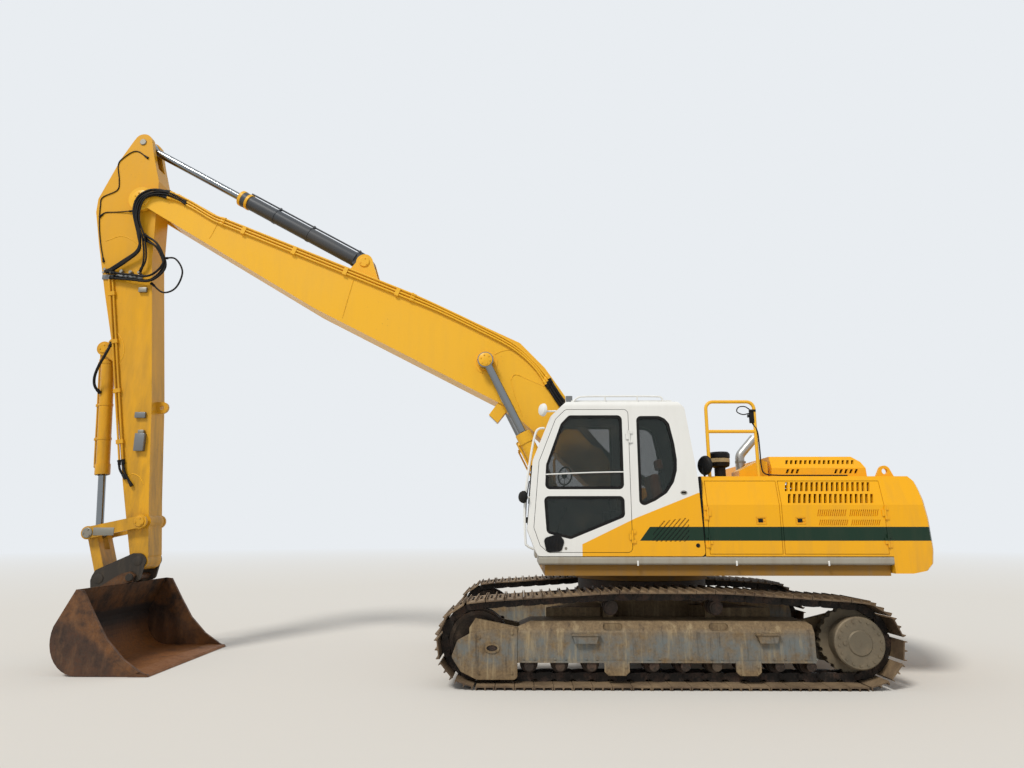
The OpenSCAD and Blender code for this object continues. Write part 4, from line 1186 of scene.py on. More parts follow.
    def spin(self, profile: Sequence[Pair], centre: Point, axis: Point, steps: int,
             closed: bool = False) -> "Form":
        """Add a full turn of a profile.

        Args:
            profile: (distance from the axis, place along it) pairs.
            centre: Where the axis starts.
            axis: Its direction.
            steps: Steps of the turn.
            closed: Whether the profile is a loop away from the axis.

        Returns:
            The form.
        """
        line = Vector(axis).normalized()
        out = line.orthogonal().normalized()
        verts = [self.bm.verts.new(Vector(centre) + out * r + line * h) for r, h in profile]
        edges = [self.bm.edges.new(pair) for pair in zip(verts, [*verts[1:], *verts[:int(closed)]])]
        bmesh.ops.spin(self.bm, geom=[*verts, *edges], cent=centre, axis=line, angle=math.tau, steps=steps,
                       use_merge=True)
        return self

    def stamp(self, template: bpy.types.Mesh, place: Matrix) -> "Form":
        """Add a copy of a finished mesh.

        Args:
            template: The mesh.
            place: Where its origin goes, and its turn.

        Returns:
            The form.
        """
        before = len(self.bm.verts)
        self.bm.from_mesh(template)
        self.bm.verts.ensure_lookup_table()
        bmesh.ops.transform(self.bm, matrix=place, verts=self.bm.verts[before:])
        return self

    def mesh(self, name: str) -> bpy.types.Mesh:
        """Turn the form into a mesh with normals outwards.

        Args:
            name: The mesh's name.

        Returns:
            The mesh.
        """
        bmesh.ops.remove_doubles(self.bm, verts=self.bm.verts, dist=self.SAME_PLACE)
        bmesh.ops.recalc_face_normals(self.bm, faces=self.bm.faces)
        made = bpy.data.meshes.new(name)
        self.bm.to_mesh(made)
        self.bm.free()
        return made

    def place(self, name: str, finish: str, body: str, sharp: float = 32.0) -> bpy.types.Object:
        """Turn the form into a piece that rides on a body.

        Args:
            name: The piece's name.
            finish: Name of its finish.
            body: The body that carries it.
            sharp: Angle in degrees past which an edge stays sharp.

        Returns:
            The piece.
        """
        mesh = self.mesh(name)
        mesh.shade_smooth()
        mesh.set_sharp_from_angle(angle=math.radians(sharp))
        mesh.materials.append(FINISHES.get(finish))
        piece = add_object(name, mesh)
        if body:
            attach(piece, body)
        LOG.info("piece %s: %d faces", name, len(mesh.polygons))
        return piece


@dataclass
class TrackChain:
    """One running track: shoes with three grousers on two rows of links, along the loop of part.scad."""

    side: Side
    gauge: float = 2.74
    shoe_width: float = 0.75
    axle_x: float = 2.15
    wheel_radius: float = 0.383
    grouser: float = 0.101
    plate: float = 0.072
    plate_in: float = 0.058
    rail: float = 0.04
    rails: Pair = (0.07, 0.115)
    carrier_x: float = 0.608
    carrier_z: float = 0.846
    carrier_radius: float = 0.1183
    shoes: int = 51
    bushing: Pair = (0.034, 0.01)
    pin: Pair = (0.021, 0.016)
    bolt: Pair = (0.015, 0.014)
    bolt_places: Pair = (0.27, 0.73)
    link_length: float = 0.82
    link_start: float = 0.01
    slope_angle: float = field(init=False)
    stretches: tuple[float, ...] = field(init=False)

    def __post_init__(self) -> None:
        """Work out the loop's stretches from the bottom's middle forwards and up."""
        across, up = self.carrier_x - self.axle_x, self.carrier_z - self.axle_z
        reach = math.hypot(across, up)
        drop = self.wheel_radius - self.carrier_radius
        self.slope_angle = math.atan2(up, across) - math.acos(drop / reach)
        lengths = (self.axle_x, self.wheel_radius * (self.slope_angle + math.pi / 2),
                   math.sqrt(reach ** 2 - drop ** 2), self.carrier_radius * (math.pi / 2 - self.slope_angle),
                   self.carrier_x)
        total, ends = 0.0, []
        for length in lengths:
            total += length
            ends.append(total)
        self.stretches = tuple(ends)

    @property
    def axle_z(self) -> float:
        """Height of the idler's and the sprocket's axes."""
        return self.wheel_radius + self.grouser

    @staticmethod
    def on_circle(x: float, z: float, radius: float, angle: float) -> Pair:
        """A point on a wheel, by the angle from its front."""
        return x + radius * math.cos(angle), z + radius * math.sin(angle)

    def half_point(self, s: float) -> Pair:
        """Find a point of the pin line's front half.

        Args:
            s: Distance from the bottom's middle, along the line.

        Returns:
            The point, forwards and up.
        """
        flat, wheel, slope, carrier, half = self.stretches
        tilt = self.slope_angle
        if s < flat:
            return s, self.axle_z - self.wheel_radius
        if s < wheel:
            angle = (s - flat) / self.wheel_radius - math.pi / 2
            return self.on_circle(self.axle_x, self.axle_z, self.wheel_radius, angle)
        if s < slope:
            x, z = self.on_circle(self.axle_x, self.axle_z, self.wheel_radius, tilt)
            return x - (s - wheel) * math.sin(tilt), z + (s - wheel) * math.cos(tilt)
        if s < carrier:
            angle = tilt + (s - slope) / self.carrier_radius
            return self.on_circle(self.carrier_x, self.carrier_z, self.carrier_radius, angle)
        return half - s, self.carrier_z + self.carrier_radius

    def point(self, s: float) -> Vector:
        """Find a point of the pin line anywhere on the loop.

        Args:
            s: Distance from the bottom's middle, along the loop.

        Returns:
            The point, on the machine's middle plane.
        """
        half = self.stretches[-1]
        x, z = self.half_point(s if s <= half else 2 * half - s)
        return Vector((x if s <= half else -x, 0.0, z))

    def shoe(self, pitch: float) -> bpy.types.Mesh:
        """One shoe with its links, pin and bolts; X runs to the next pin and Z out of the loop.

        Args:
            pitch: Distance between two pins.

        Returns:
            The link's mesh.
        """
        form = Form()
        half = self.shoe_width / 2
        rib, low = self.grouser, self.plate
        outline = [(0.012, self.plate_in), (0.975, self.plate_in), (0.995, low - 0.006), (0.985, rib - 0.004),
                   (0.955, rib), (0.935, low + 0.008), (0.915, low), (0.565, low), (0.54, low + 0.01),
                   (0.525, rib), (0.475, rib), (0.46, low + 0.01), (0.435, low), (0.12, low),
                   (0.09, low + 0.008), (0.075, rib), (0.035, rib - 0.003), (0.02, low - 0.004)]
        form.prism([(x * pitch, z) for x, z in outline], -half, half)
        plate = set(form.bm.faces)
        link = [(-0.17, 0.03), (-0.19, 0.0), (-0.13, -0.03), (0.02, -self.rail), (0.62, -self.rail),
                (0.78, -0.036), (0.95, -0.034), (1.12, -0.024), (1.17, 0.0), (1.1, 0.028), (0.92, 0.04),
                (0.84, self.plate_in - 0.001), (0.16, self.plate_in - 0.001), (0.06, 0.04)]
        rail_in, rail_out = self.rails
        for hand in (-1, 1):
            inner, outer = sorted((hand * rail_in, hand * rail_out))
            form.prism([(x * pitch * self.link_length + self.link_start, z) for x, z in link], inner, outer)
            radius, proud = self.bushing
            start, end = (0.0, hand * (rail_out - 0.03), 0.0), (0.0, hand * (rail_out + proud), 0.0)
            form.rod(start, end, radius, sides=14)
            radius, proud = self.bolt
            y = hand * (rail_in + rail_out) / 2
            for share in self.bolt_places:
                x = share * pitch
                form.rod((x, y, low - form.HEAD_SINK), (x, y, low + proud), radius, sides=6)
        radius, proud = self.pin
        form.rod((0.0, -rail_out - proud, 0.0), (0.0, rail_out + proud, 0.0), radius, sides=12)
        for face in form.bm.faces:
            face.material_index = 0 if face in plate else 1
        return form.mesh("shoe")

    def build(self) -> None:
        """Lay all shoes along the loop in place of the plain track."""
        pitch = 2 * self.stretches[-1] / self.shoes
        shoe = self.shoe(pitch)
        form = Form()
        for index in range(self.shoes):
            start, end = self.point(index * pitch), self.point((index + 1) * pitch)
            ahead = (end - start).normalized()
            out = Vector((ahead.z, 0.0, -ahead.x))
            across = out.cross(ahead)
            turn = Matrix((ahead, across, out)).transposed().to_4x4()
            start.y = self.side.value * self.gauge / 2
            form.stamp(shoe, Matrix.Translation(start) @ turn)
        piece = form.place(f"track_chain_{self.side.word}", "shoe_steel", "undercarriage", 25.0)
        piece.data.materials.append(FINISHES.get("link_steel"))
        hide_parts(f"track_{self.side.word}")


@dataclass
class Hose:
    """A hydraulic hose with crimped ends."""

    name: str
    points: tuple[Point, ...]
    body: str
    radius: float
    towards: str = ""
    bend: tuple[Point, Point] | None = None
    finish: str = "hose_rubber"
    sleeve: Pair = (0.07, 0.006)
    nut: Pair = (0.3, 0.011)

    def build(self) -> None:
        """Make the hose; one that crosses a joint is baked in place and rides on no body."""
        path = smooth_path(self.points, 8)
        form = Form().tube(path, self.radius, 12)
        for end, near in ((path[0], path[1]), (path[-1], path[-2])):
            inner = end + (near - end).normalized() * self.sleeve[0]
            form.rod(end, inner, self.radius + self.sleeve[1], sides=12, soft=0.002)
            form.rod(end, end + (inner - end) * self.nut[0], self.radius + self.nut[1], sides=6)
        piece = form.place(self.name, self.finish, "" if self.bend else self.body, 40.0)
        if self.bend:
            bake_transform(piece)


@dataclass
class ArmPlumbing:
    """Pipes and hoses from the machine's middle to the bucket cylinder."""

    pipe_y: float = 0.286
    drops: tuple[float, ...] = (0.008, 0.052, 0.096)
    rear: Pair = (3.2347, 5.1244)
    front: Pair = (6.0863, 6.3196)
    slope_deg: float = 22.74
    pipe_radius: float = 0.014
    stick_y: float = 0.206
    stick_side: float = 0.181
    cable_y: float = 0.187
    cable_radius: float = 0.008
    loops: tuple[Point, ...] = ((0.0, 0.0, 0.0), (0.045, -0.02, 0.02), (0.02, 0.05, 0.045))
    port_places: tuple[float, ...] = (7.35, 7.48, 7.62, 7.76, 7.88)
    port_z: float = 5.49
    port_slope: float = 0.11
    block_low: Point = (7.31, 0.181, 5.4)
    block_high: Point = (7.92, 0.196, 5.475)
    plug_places: tuple[float, ...] = (7.4, 7.53, 7.67, 7.8)
    plug_z: float = 5.44
    foot_runs: tuple[tuple[Pair, Pair], ...] = (((7.27, 2.7), (7.1, 2.33)), ((7.32, 2.69), (7.2, 2.43)))

    def dropped(self, start: Pair, drop: float) -> Pair:
        """A point of the pipes' line, lowered square to it."""
        slope = math.radians(self.slope_deg)
        return start[0] + drop * math.sin(slope), start[1] - drop * math.cos(slope)

    def build(self) -> None:
        """Make every pipe and hose."""
        for index, drop in enumerate(self.drops):
            self.rear_run(index, drop)
            self.tip_run(index, drop)
        self.tip_extras()
        self.stick_hoses()
        self.manifold()
        self.foot_hoses()
        self.cables()

    def rear_run(self, index: int, drop: float) -> None:
        """A pipe from the straight run back to the foot, and its hose down to the machine.

        Args:
            index: The pipe's number.
            drop: How far it lies under the top edge.
        """
        x, z = self.dropped(self.rear, drop)
        y = self.pipe_y
        low = drop * 0.9
        joint = (1.24 + low * 0.5, y, 3.84 - low)
        Hose(f"foot_pipe_{index}", (
            (x, y, z), (2.82, y, 4.925 - low), (2.25, y, 4.64 - low), (1.76, y, 4.37 - low),
            (1.46, y, 4.1 - low), joint), "boom", self.pipe_radius, finish="arm_paint").build()
        out = y - 0.03 * index
        Hose(f"foot_hose_{index}", (
            joint, (1.02 + low * 0.5, y, 3.5 - low), (0.62 + low, y - 0.02, 2.98),
            (0.25 + low * 0.6, out - 0.08, 2.62 - low), (-0.1, out - 0.1, 2.42 - low),
            (-0.34, out - 0.12, 2.05), (-0.38, out - 0.12, 1.62)),
            "upper", 0.021, "boom", ((-0.1, y, 2.42), (0.62, y, 2.98))).build()

    def tip_run(self, index: int, drop: float) -> None:
        """A pipe over the boom's tip and its hose down to the stick.

        Args:
            index: The pipe's number.
            drop: How far it lies under the top edge.
        """
        x, z = self.dropped(self.front, drop)
        y = self.pipe_y
        end = (6.98 + 0.02 * index, y + 0.004, 6.775 - drop)
        Hose(f"tip_pipe_{index}", (
            (x, y, z), (6.3, y, 6.405 - drop), (6.62, y, 6.6 - drop), (6.83, y, 6.71 - drop), end),
            "boom", self.pipe_radius, finish="arm_paint").build()
        far = 0.03 * index
        Hose(f"tip_hose_{index}", (
            end, (7.204, y + 0.01, 6.812 - drop), (7.36 - far * 0.5, y + 0.005, 6.785 - drop),
            (7.485 - far, y, 6.66 - far), (7.515 - far, y - 0.01, 6.44), (7.41 - far * 0.4, y - 0.02, 6.08),
            (7.37 + far * 0.4, 0.26, 5.84), (7.56 + far, 0.245, 5.66), (7.8 + far, 0.225, 5.5)),
            "boom", 0.019, "stick", ((6.99, y, 6.78), (7.4, y, 6.05))).build()

    def tip_extras(self) -> None:
        """Two thin hoses that follow the bundle over the joint."""
        y = 0.318
        for index, shift in enumerate((0.0, 0.035)):
            Hose(f"tip_line_{index}", (
                (6.72, y - 0.03, 6.6 - shift), (6.98, y, 6.735 - shift), (7.22, y, 6.755 - shift),
                (7.4 - shift, y, 6.62), (7.44 - shift, y - 0.01, 6.34), (7.33 - shift, 0.285, 6.02),
                (7.29 - shift, 0.255, 5.7), (7.34, 0.225, 5.5)),
                "boom", 0.012, "stick", ((6.99, y, 6.74), (7.36, y, 6.1))).build()

    def stick_hoses(self) -> None:
        """Loops beside the stick's head and the bucket cylinder's hose."""
        for index, (x, z, y) in enumerate(self.loops):
            Hose(f"head_loop_{index}", (
                (7.32 + x * 0.3, 0.215 + y, 6.04 + z), (7.1 - x, 0.25 + y, 5.86 + z),
                (6.985 - x, 0.25 + y, 5.58 + z), (7.16 - x * 0.5, 0.24 + y, 5.375 + z),
                (7.45, 0.235 + y, 5.39 + z), (7.73 + x, 0.215 + y, 5.43 + z)), "stick", 0.016).build()
        Hose("ram_hose", (
            (7.64, 0.2, 4.42), (7.69, 0.235, 4.235), (7.765, 0.24, 4.055), (7.825, 0.21, 3.894),
            (7.84, 0.15, 3.77), (7.79, 0.085, 3.68)), "stick", 0.019, "bucket_barrel",
            ((7.69, 0.0, 4.235), (7.84, 0.0, 3.77))).build()
        Hose("low_loop", (
            (7.02, 0.2, 5.73), (6.83, 0.22, 5.71), (6.7, 0.225, 5.5), (6.775, 0.225, 5.25),
            (6.96, 0.22, 5.18), (7.16, 0.205, 5.33)), "stick", 0.013).build()

    def manifold(self) -> None:
        """Ports and plugs where the hoses meet on the stick's head."""
        side = self.stick_side
        for index, x in enumerate(self.port_places):
            z = self.port_z + self.port_slope * (x - self.port_places[0])
            port = Form().rod((x, side, z), (x, side + 0.054, z), 0.024, sides=6)
            port.rod((x, side + 0.054, self.port_z), (x, side + 0.071, self.port_z), 0.017, sides=12)
            port.place(f"manifold_port_{index}", "zinc_bolts", "stick")
        block = Form().block(self.block_low, self.block_high, 0.004)
        for x in self.plug_places:
            block.rod((x, side + 0.014, self.plug_z), (x, side + 0.035, self.plug_z), 0.018, sides=6)
            block.rod((x, side + 0.034, self.plug_z), (x, side + 0.049, self.plug_z), 0.011, sides=10)
        block.place("manifold_block", "lamp_shell", "stick")

    def foot_hoses(self) -> None:
        """Two short hoses at the stick's foot."""
        for index, ((x0, z0), (x1, z1)) in enumerate(self.foot_runs):
            middle = ((x0 + x1) / 2 + 0.03, 0.215, (z0 + z1) / 2)
            Hose(f"stick_foot_hose_{index}", ((x0, self.stick_y, z0), middle, (x1, 0.205, z1)), "stick",
                 0.016).build()

    def cables(self) -> None:
        """Black cables along the stick's head."""
        y = self.cable_y
        Hose("head_cable", (
            (7.45, y, 7.4), (7.653, y, 7.522), (7.843, y, 7.403), (7.907, y, 7.283), (7.86, y, 7.028),
            (7.87, y, 6.859), (8.08, y, 6.74), (8.1, y, 6.6), (8.075, y, 6.279), (8.01, y, 5.952),
            (7.93, y, 5.677)), "stick", self.cable_radius).build()
        Hose("cross_cable", (
            (8.09, y, 6.411), (8.01, y, 6.484), (7.841, y, 6.492), (7.567, y + 0.02, 6.5)),
            "stick", self.cable_radius).build()


@dataclass
class Cylinder:
    """The fittings on one hydraulic cylinder: gland bolts, bands, ports and the pipe along its side."""

    name: str
    barrel: str
    base: Pair
    end: Pair
    length: float
    radius: float
    gland: float
    rod: float
    finish: str
    y: float = 0.0
    hand: int = 1
    yellow_gland: bool = False
    bands: tuple[float, float, float] = (0.2, 0.45, 0.72)
    band_half: float = 0.018
    clip: Point = (0.02, 0.022, 0.02)
    ports: Pair = (0.15, 0.125)
    pipe_radius: float = 0.013
    port_radius: float = 0.026

    def at(self, along: float, out: float = 0.0) -> Vector:
        """Find a place on or beside the cylinder.

        Args:
            along: Distance from the base's pin.
            out: Distance from the middle line, to the pipe's side.

        Returns:
            The place.
        """
        line = (Vector(self.end) - Vector(self.base)).normalized()
        side = Vector((-line.y, line.x)) * self.hand
        spot = Vector(self.base) + line * along + side * out
        return Vector((spot.x, self.y, spot.y))

    def build(self) -> None:
        """Make them."""
        line = (self.at(1.0) - self.at(0.0)).normalized()
        form = Form()
        self.add_bands(form, line)
        self.add_pipe(form)
        form.place(f"{self.name}_pipe", self.finish, self.barrel)
        if self.yellow_gland:
            self.gland_sleeve(line)
        face = self.length + (0.006 if self.yellow_gland else 0.0)
        bolts = Form().bolt_circle(self.at(face), line, (self.gland + self.rod) / 2 + 0.004, 8, 0.011)
        bolts.place(f"{self.name}_gland_bolts", "zinc_bolts", self.barrel)
        inner, outer = self.rod + 0.001, self.rod + 0.014
        wiper = [(inner, self.length), (outer, self.length), (outer - 0.004, self.length + 0.014),
                 (inner, self.length + 0.016)]
        lip = Form().spin(wiper, self.at(0.0), line, 32, True)
        lip.place(f"{self.name}_wiper", "seal_rubber", self.barrel)

    def add_bands(self, form: Form, line: Vector) -> None:
        """Add the bands round the barrel and their clips for the pipe.

        Args:
            form: The form that they join.
            line: The cylinder's direction.
        """
        low, high, half = self.radius - 0.002, self.radius + 0.007, self.band_half
        first, *shares = self.bands
        for along in (first, *(self.length * share for share in shares)):
            band = [(low, -half), (high, 0.002 - half), (high, half - 0.002), (low, half)]
            form.spin(band, self.at(along), line, 36, True)
            middle = self.at(along, self.radius + 0.028)
            form.block(middle - Vector(self.clip), middle + Vector(self.clip), 0.004)

    def add_pipe(self, form: Form) -> None:
        """Add the pipe along the barrel's side, from port to port.

        Args:
            form: The form that it joins.
        """
        foot, lift = self.radius - 0.01, self.radius + 0.03
        first, last = self.ports[0], self.length - self.ports[1]
        form.tube(smooth_path((
            self.at(first, foot), self.at(first + 0.002, lift - 0.012), self.at(self.bands[0], lift),
            self.at(self.length * 0.5, lift), self.at(self.length - 0.19, lift),
            self.at(last - 0.01, lift - 0.008), self.at(last, foot)), 6), self.pipe_radius)
        form.rod(self.at(last, foot), self.at(last, lift), self.port_radius, sides=12, soft=0.003)
        form.rod(self.at(first, foot), self.at(first, lift - 0.008), self.port_radius, sides=12, soft=0.003)

    def gland_sleeve(self, line: Vector) -> None:
        """Make the sleeve over the barrel's end.

        Args:
            line: The cylinder's direction.
        """
        high, low = self.gland + 0.004, self.rod + 0.004
        start, stop = self.length - 0.165, self.length + 0.006
        sleeve = [(low, stop), (high - 0.006, stop), (high, stop - 0.006), (high, stop - 0.05),
                  (high - 0.008, stop - 0.055), (high - 0.008, start + 0.045), (high, start + 0.04),
                  (high, start), (low, start)]
        form = Form().spin(sleeve, self.at(0.0), line, 40, True)
        form.place(f"{self.name}_gland", "arm_paint", self.barrel)


@dataclass
class ArmPins:
    """Covers, keepers and bolts on the ends of the arm's pins."""

    pins: tuple[tuple[str, float, float, float, float, int, str, str], ...] = (
        ("foot_pin", 0.2, 2.05, 0.33, 0.105, 4, "upper", "arm_paint"),
        ("lift_base_pin", 0.9, 1.6, 0.485, 0.085, 3, "upper", "arm_paint"),
        ("lift_eye_cover", 2.145, 4.083, 0.441, 0.098, 6, "boom", "arm_paint"),
        ("stick_base_pin", 4.0, 5.68, 0.14, 0.08, 3, "boom", "arm_paint"),
        ("tip_pin", 7.44, 6.68, 0.26, 0.135, 8, "boom", "arm_paint"),
        ("stick_top_pin", 7.56, 7.68, 0.18, 0.05, 0, "stick", "zinc_bolts"),
        ("bucket_base_pin", 7.8, 4.35, 0.12, 0.072, 3, "stick", "stick_paint"),
        ("rocker_pin", 6.9, 1.84, 0.272, 0.07, 3, "stick", "stick_paint"),
        ("lever_pin", 7.6, 1.69, 0.272, 0.07, 3, "rocker", "zinc_bolts"),
        ("hook_pin_front", 6.95, 1.1, 0.272, 0.052, 0, "bucket", "coupler_paint"),
        ("hook_pin_rear", 7.36, 0.86, 0.272, 0.052, 0, "bucket", "coupler_paint"),
    )
    height: float = 0.018
    plates: tuple[tuple[str, float, float, float, str], ...] = (
        ("bucket_pin_plate", 6.89, 1.31, 0.2242, "stick"),
        ("link_pin_plate", 7.4, 1.08, 0.2302, "bucket"),
    )
    plate_radius: float = 0.062
    plate_height: float = 0.0055

    def build(self) -> None:
        """Make one piece per pin, with both ends."""
        for name, x, z, half, radius, bolts, body, finish in self.pins:
            Form().caps(x, half, z, radius, self.height, bolts).place(name, finish, body)
        for name, x, z, half, body in self.plates:
            Form().caps(x, half, z, self.plate_radius, self.plate_height).place(name, "coupler_paint", body)


@dataclass
class Welds:
    """Weld beads round the plates laid on the arm's sides."""

    bead: float = 0.006
    boss: Pair = (2.145, 4.083)
    boss_radius: float = 0.165
    boss_width: float = 0.03
    boss_face: Pair = (0.2595, 0.2685)
    runs: tuple[tuple[str, str, float, Outline], ...] = (
        ("boom_plate_high", "boom", 0.26, (
            (2.3, 4.13), (2.18, 4.155), (2.059, 4.185), (1.93, 4.246), (1.8, 4.268), (1.656, 4.237),
            (1.56, 4.2))),
        ("boom_plate_low", "boom", 0.26, (
            (1.785, 3.824), (1.757, 3.883), (1.688, 3.897), (1.5, 3.815), (1.3, 3.725), (1.15, 3.655))),
        ("boom_plate_edge", "boom", 0.26, ((1.785, 3.824), (1.74, 3.64), (1.689, 3.485), (1.625, 3.31))),
        ("boom_middle_seam", "boom", 0.26, ((4.1, 5.42), (4.13, 5.3), (4.2, 5.0), (4.255, 4.76))),
        ("boom_tip_seam", "boom", 0.26, ((6.22, 6.28), (6.28, 6.12), (6.33, 6.02))),
        ("stick_head_seam", "stick", 0.18, ((7.32, 5.86), (7.52, 6.02), (7.72, 6.1), (7.95, 6.02))),
        ("stick_foot_seam", "stick", 0.18, ((6.95, 2.36), (7.02, 2.46), (7.12, 2.5), (7.19, 2.46))),
        ("stick_cylinder_plate", "stick", 0.18, ((7.62, 4.6), (7.5, 4.45), (7.46, 4.25), (7.52, 4.08))),
    )

    def build(self) -> None:
        """Lay each bead on both sides."""
        for name, body, half, points in self.runs:
            form = Form()
            for hand in (-1, 1):
                form.tube(smooth_path([(x, hand * half, z) for x, z in points], 5), self.bead, 6)
            form.place(name, "arm_paint", body, 60.0)
        form = Form()
        outline = circle(self.boss, self.boss_radius, self.boss_radius, 40)
        low, high = self.boss_face
        for hand in (-1, 1):
            form.ring(outline, hand * low, hand * high, self.boss_width)
        form.place("boom_boss_plate", "arm_paint", "boom")


@dataclass
class StickBoxes:
    """Small housings and clips on the stick's near side."""

    boxes: tuple[tuple[str, Point, Point, str], ...] = (
        ("valve_box", (6.985, 0.181, 2.82), (7.12, 0.245, 3.07), "lamp_shell"),
        ("valve_head", (7.01, 0.181, 3.07), (7.09, 0.232, 3.12), "zinc_bolts"),
        ("sensor_high", (7.215, 0.181, 5.19), (7.335, 0.222, 5.262), "zinc_bolts"),
        ("sensor_low", (7.02, 0.181, 3.295), (7.17, 0.222, 3.378), "lamp_shell"),
        ("rocker_plate", (7.235, 0.273, 1.655), (7.52, 0.278, 1.76), "zinc_bolts"),
    )

    def build(self) -> None:
        """Make them."""
        for name, low, high, finish in self.boxes:
            body = "rocker" if name == "rocker_plate" else "stick"
            Form().block(low, high, 0.004 if body == "stick" else 0.001).place(name, finish, body)


@dataclass
class CabTrim:
    """Rubber, rails and small fittings on the cab and its door."""

    glass: float = 1.4824
    face: float = 1.4965
    inner_glass: float = 0.5376
    inner_face: float = 0.5235
    corner: float = 0.06
    seal: float = 0.034
    door_window: Outline = (
        (0.41, 2.205), (1.36, 2.205), (1.345, 2.5), (1.16, 3.0), (1.06, 3.105), (0.41, 3.105))
    door_low_window: Outline = (
        (0.41, 1.88), (1.06, 1.62), (1.345, 1.69), (1.375, 2.125), (0.41, 2.125))
    rear_window: Outline = (
        (0.235, 1.985), (0.04, 2.07), (-0.1, 2.16), (-0.19, 2.29), (-0.232, 2.43), (-0.238, 2.56),
        (-0.215, 2.76), (-0.165, 3.0), (-0.11, 3.065), (-0.04, 3.095), (0.235, 3.095))
    front_line: Outline = ((1.575, 1.735), (1.505, 2.555), (1.285, 3.09))
    screen_z: tuple[float, float, float] = (1.79, 2.555, 3.06)
    screen_y: Pair = (0.61, 1.41)
    screen_depth: Pair = (0.003, 0.0165)
    screen_seal: float = 0.04
    bar_seal: float = 0.022
    pad: Outline = ((1.385, 1.632), (1.2, 1.685), (1.135, 1.6), (1.175, 1.478), (1.35, 1.47))
    pad_faces: Pair = (1.4955, 1.512)
    grips: tuple[float, ...] = (1.215, 1.255, 1.295, 1.335)
    grip: tuple[float, Pair] = (0.007, (1.51, 1.625))
    lock: Point = (1.12, 1.4995, 1.515)
    bar: tuple[Point, ...] = (
        (0.43, 1.485, 2.412), (0.44, 1.497, 2.412), (0.8, 1.499, 2.405), (1.3, 1.497, 2.385),
        (1.335, 1.485, 2.383))
    grab_rail: tuple[Point, ...] = (
        (1.36, 1.44, 2.955), (1.42, 1.46, 2.945), (1.47, 1.465, 2.88), (1.53, 1.465, 2.6),
        (1.602, 1.465, 2.08), (1.598, 1.465, 1.62), (1.575, 1.46, 1.545), (1.5, 1.44, 1.505))
    roof_rail: Outline = (
        (-0.12, 3.27), (-0.1, 3.335), (-0.02, 3.352), (0.45, 3.355), (0.86, 3.352), (0.95, 3.33),
        (1.02, 3.265))
    roof_rail_y: Pair = (0.64, 1.43)
    roof_posts: Pair = (0.2, 0.6)
    mirror_back: Outline = ((0.0, 0.052), (0.5, 0.049), (0.85, 0.036), (0.98, 0.016), (1.0, 0.0), (0.9, 0.0),
                            (0.88, 0.005), (0.0, 0.005))
    mirror_glass: Outline = ((0.0, 0.0045), (0.87, 0.0045), (0.87, 0.007), (0.0, 0.007))
    mirror_heads: tuple[tuple[Point, float, float, Point, str, str], ...] = (
        ((1.614, 1.5, 2.114), 38.0, 0.074, (1.548, 1.42, 2.114), "black_plastic", "trim_paint"),
        ((1.366, 1.5, 3.172), 30.0, 0.08, (1.21, 1.42, 3.172), "trim_paint", "trim_paint"),
        ((-0.61, 1.385, 2.5), 28.0, 0.12, (-0.592, 1.407, 2.366), "black_plastic", "black_plastic"))
    wiper_arm: tuple[Point, ...] = ((0.03, 1.285, 1.85), (0.035, 1.19, 2.1), (0.02, 1.1, 2.33))
    wiper_blade: tuple[Point, Point] = ((0.004, 1.08, 2.05), (0.004, 1.11, 2.53))

    def front_x(self, z: float, depth: float = 0.0) -> float:
        """Find the cab's front.

        Args:
            z: Height above the ground.
            depth: How far behind the surface.

        Returns:
            The place along the machine.
        """
        for (x0, z0), (x1, z1) in zip(self.front_line, self.front_line[1:]):
            if z <= z1:
                break
        return x0 + (x1 - x0) * (z - z0) / (z1 - z0) - depth

    def build(self) -> None:
        """Make every fitting."""
        self.seals()
        self.windscreen()
        self.door_fittings()
        self.rails()
        self.mirrors()
        self.wiper()

    def seals(self) -> None:
        """Black rubber round the side windows."""
        outer, inner = (self.glass, self.face), (self.inner_face, self.inner_glass)
        rings = (("door_seal", self.door_window, outer, "cab_door"),
                 ("door_low_seal", self.door_low_window, outer, "cab_door"),
                 ("rear_side_seal", self.rear_window, outer, "upper"),
                 ("inner_seal", self.door_window, inner, "upper"),
                 ("inner_rear_seal", self.rear_window, inner, "upper"))
        for name, window, faces, body in rings:
            form = Form().ring(rounded_outline(window, self.corner), *faces, self.seal)
            form.place(name, "seal_rubber", body)

    def strip(self, form: Form, heights: Sequence[float], low: float, high: float) -> None:
        """Add a strip that follows the windscreen.

        Args:
            form: The form that it joins.
            heights: The heights that it passes, upwards.
            low: Its near place across the machine.
            high: Its far place across the machine.
        """
        near, far = self.screen_depth
        front = [(self.front_x(z, near), z) for z in heights]
        back = [(self.front_x(z, far), z) for z in reversed(heights)]
        form.prism([*front, *back], low, high)

    def windscreen(self) -> None:
        """Rubber round both panes of the windscreen."""
        form = Form()
        low, middle, high = self.screen_z
        left, right = self.screen_y
        width, bar, lap = self.screen_seal, self.bar_seal, self.screen_seal - 0.001
        self.strip(form, (low, middle, high), left, left + width)
        self.strip(form, (low, middle, high), right - width, right)
        for start, end in ((low, low + width), (middle - bar, middle + bar), (high - width, high)):
            self.strip(form, (start, end), left + lap, right - lap)
        form.place("windscreen_seal", "seal_rubber", "upper")

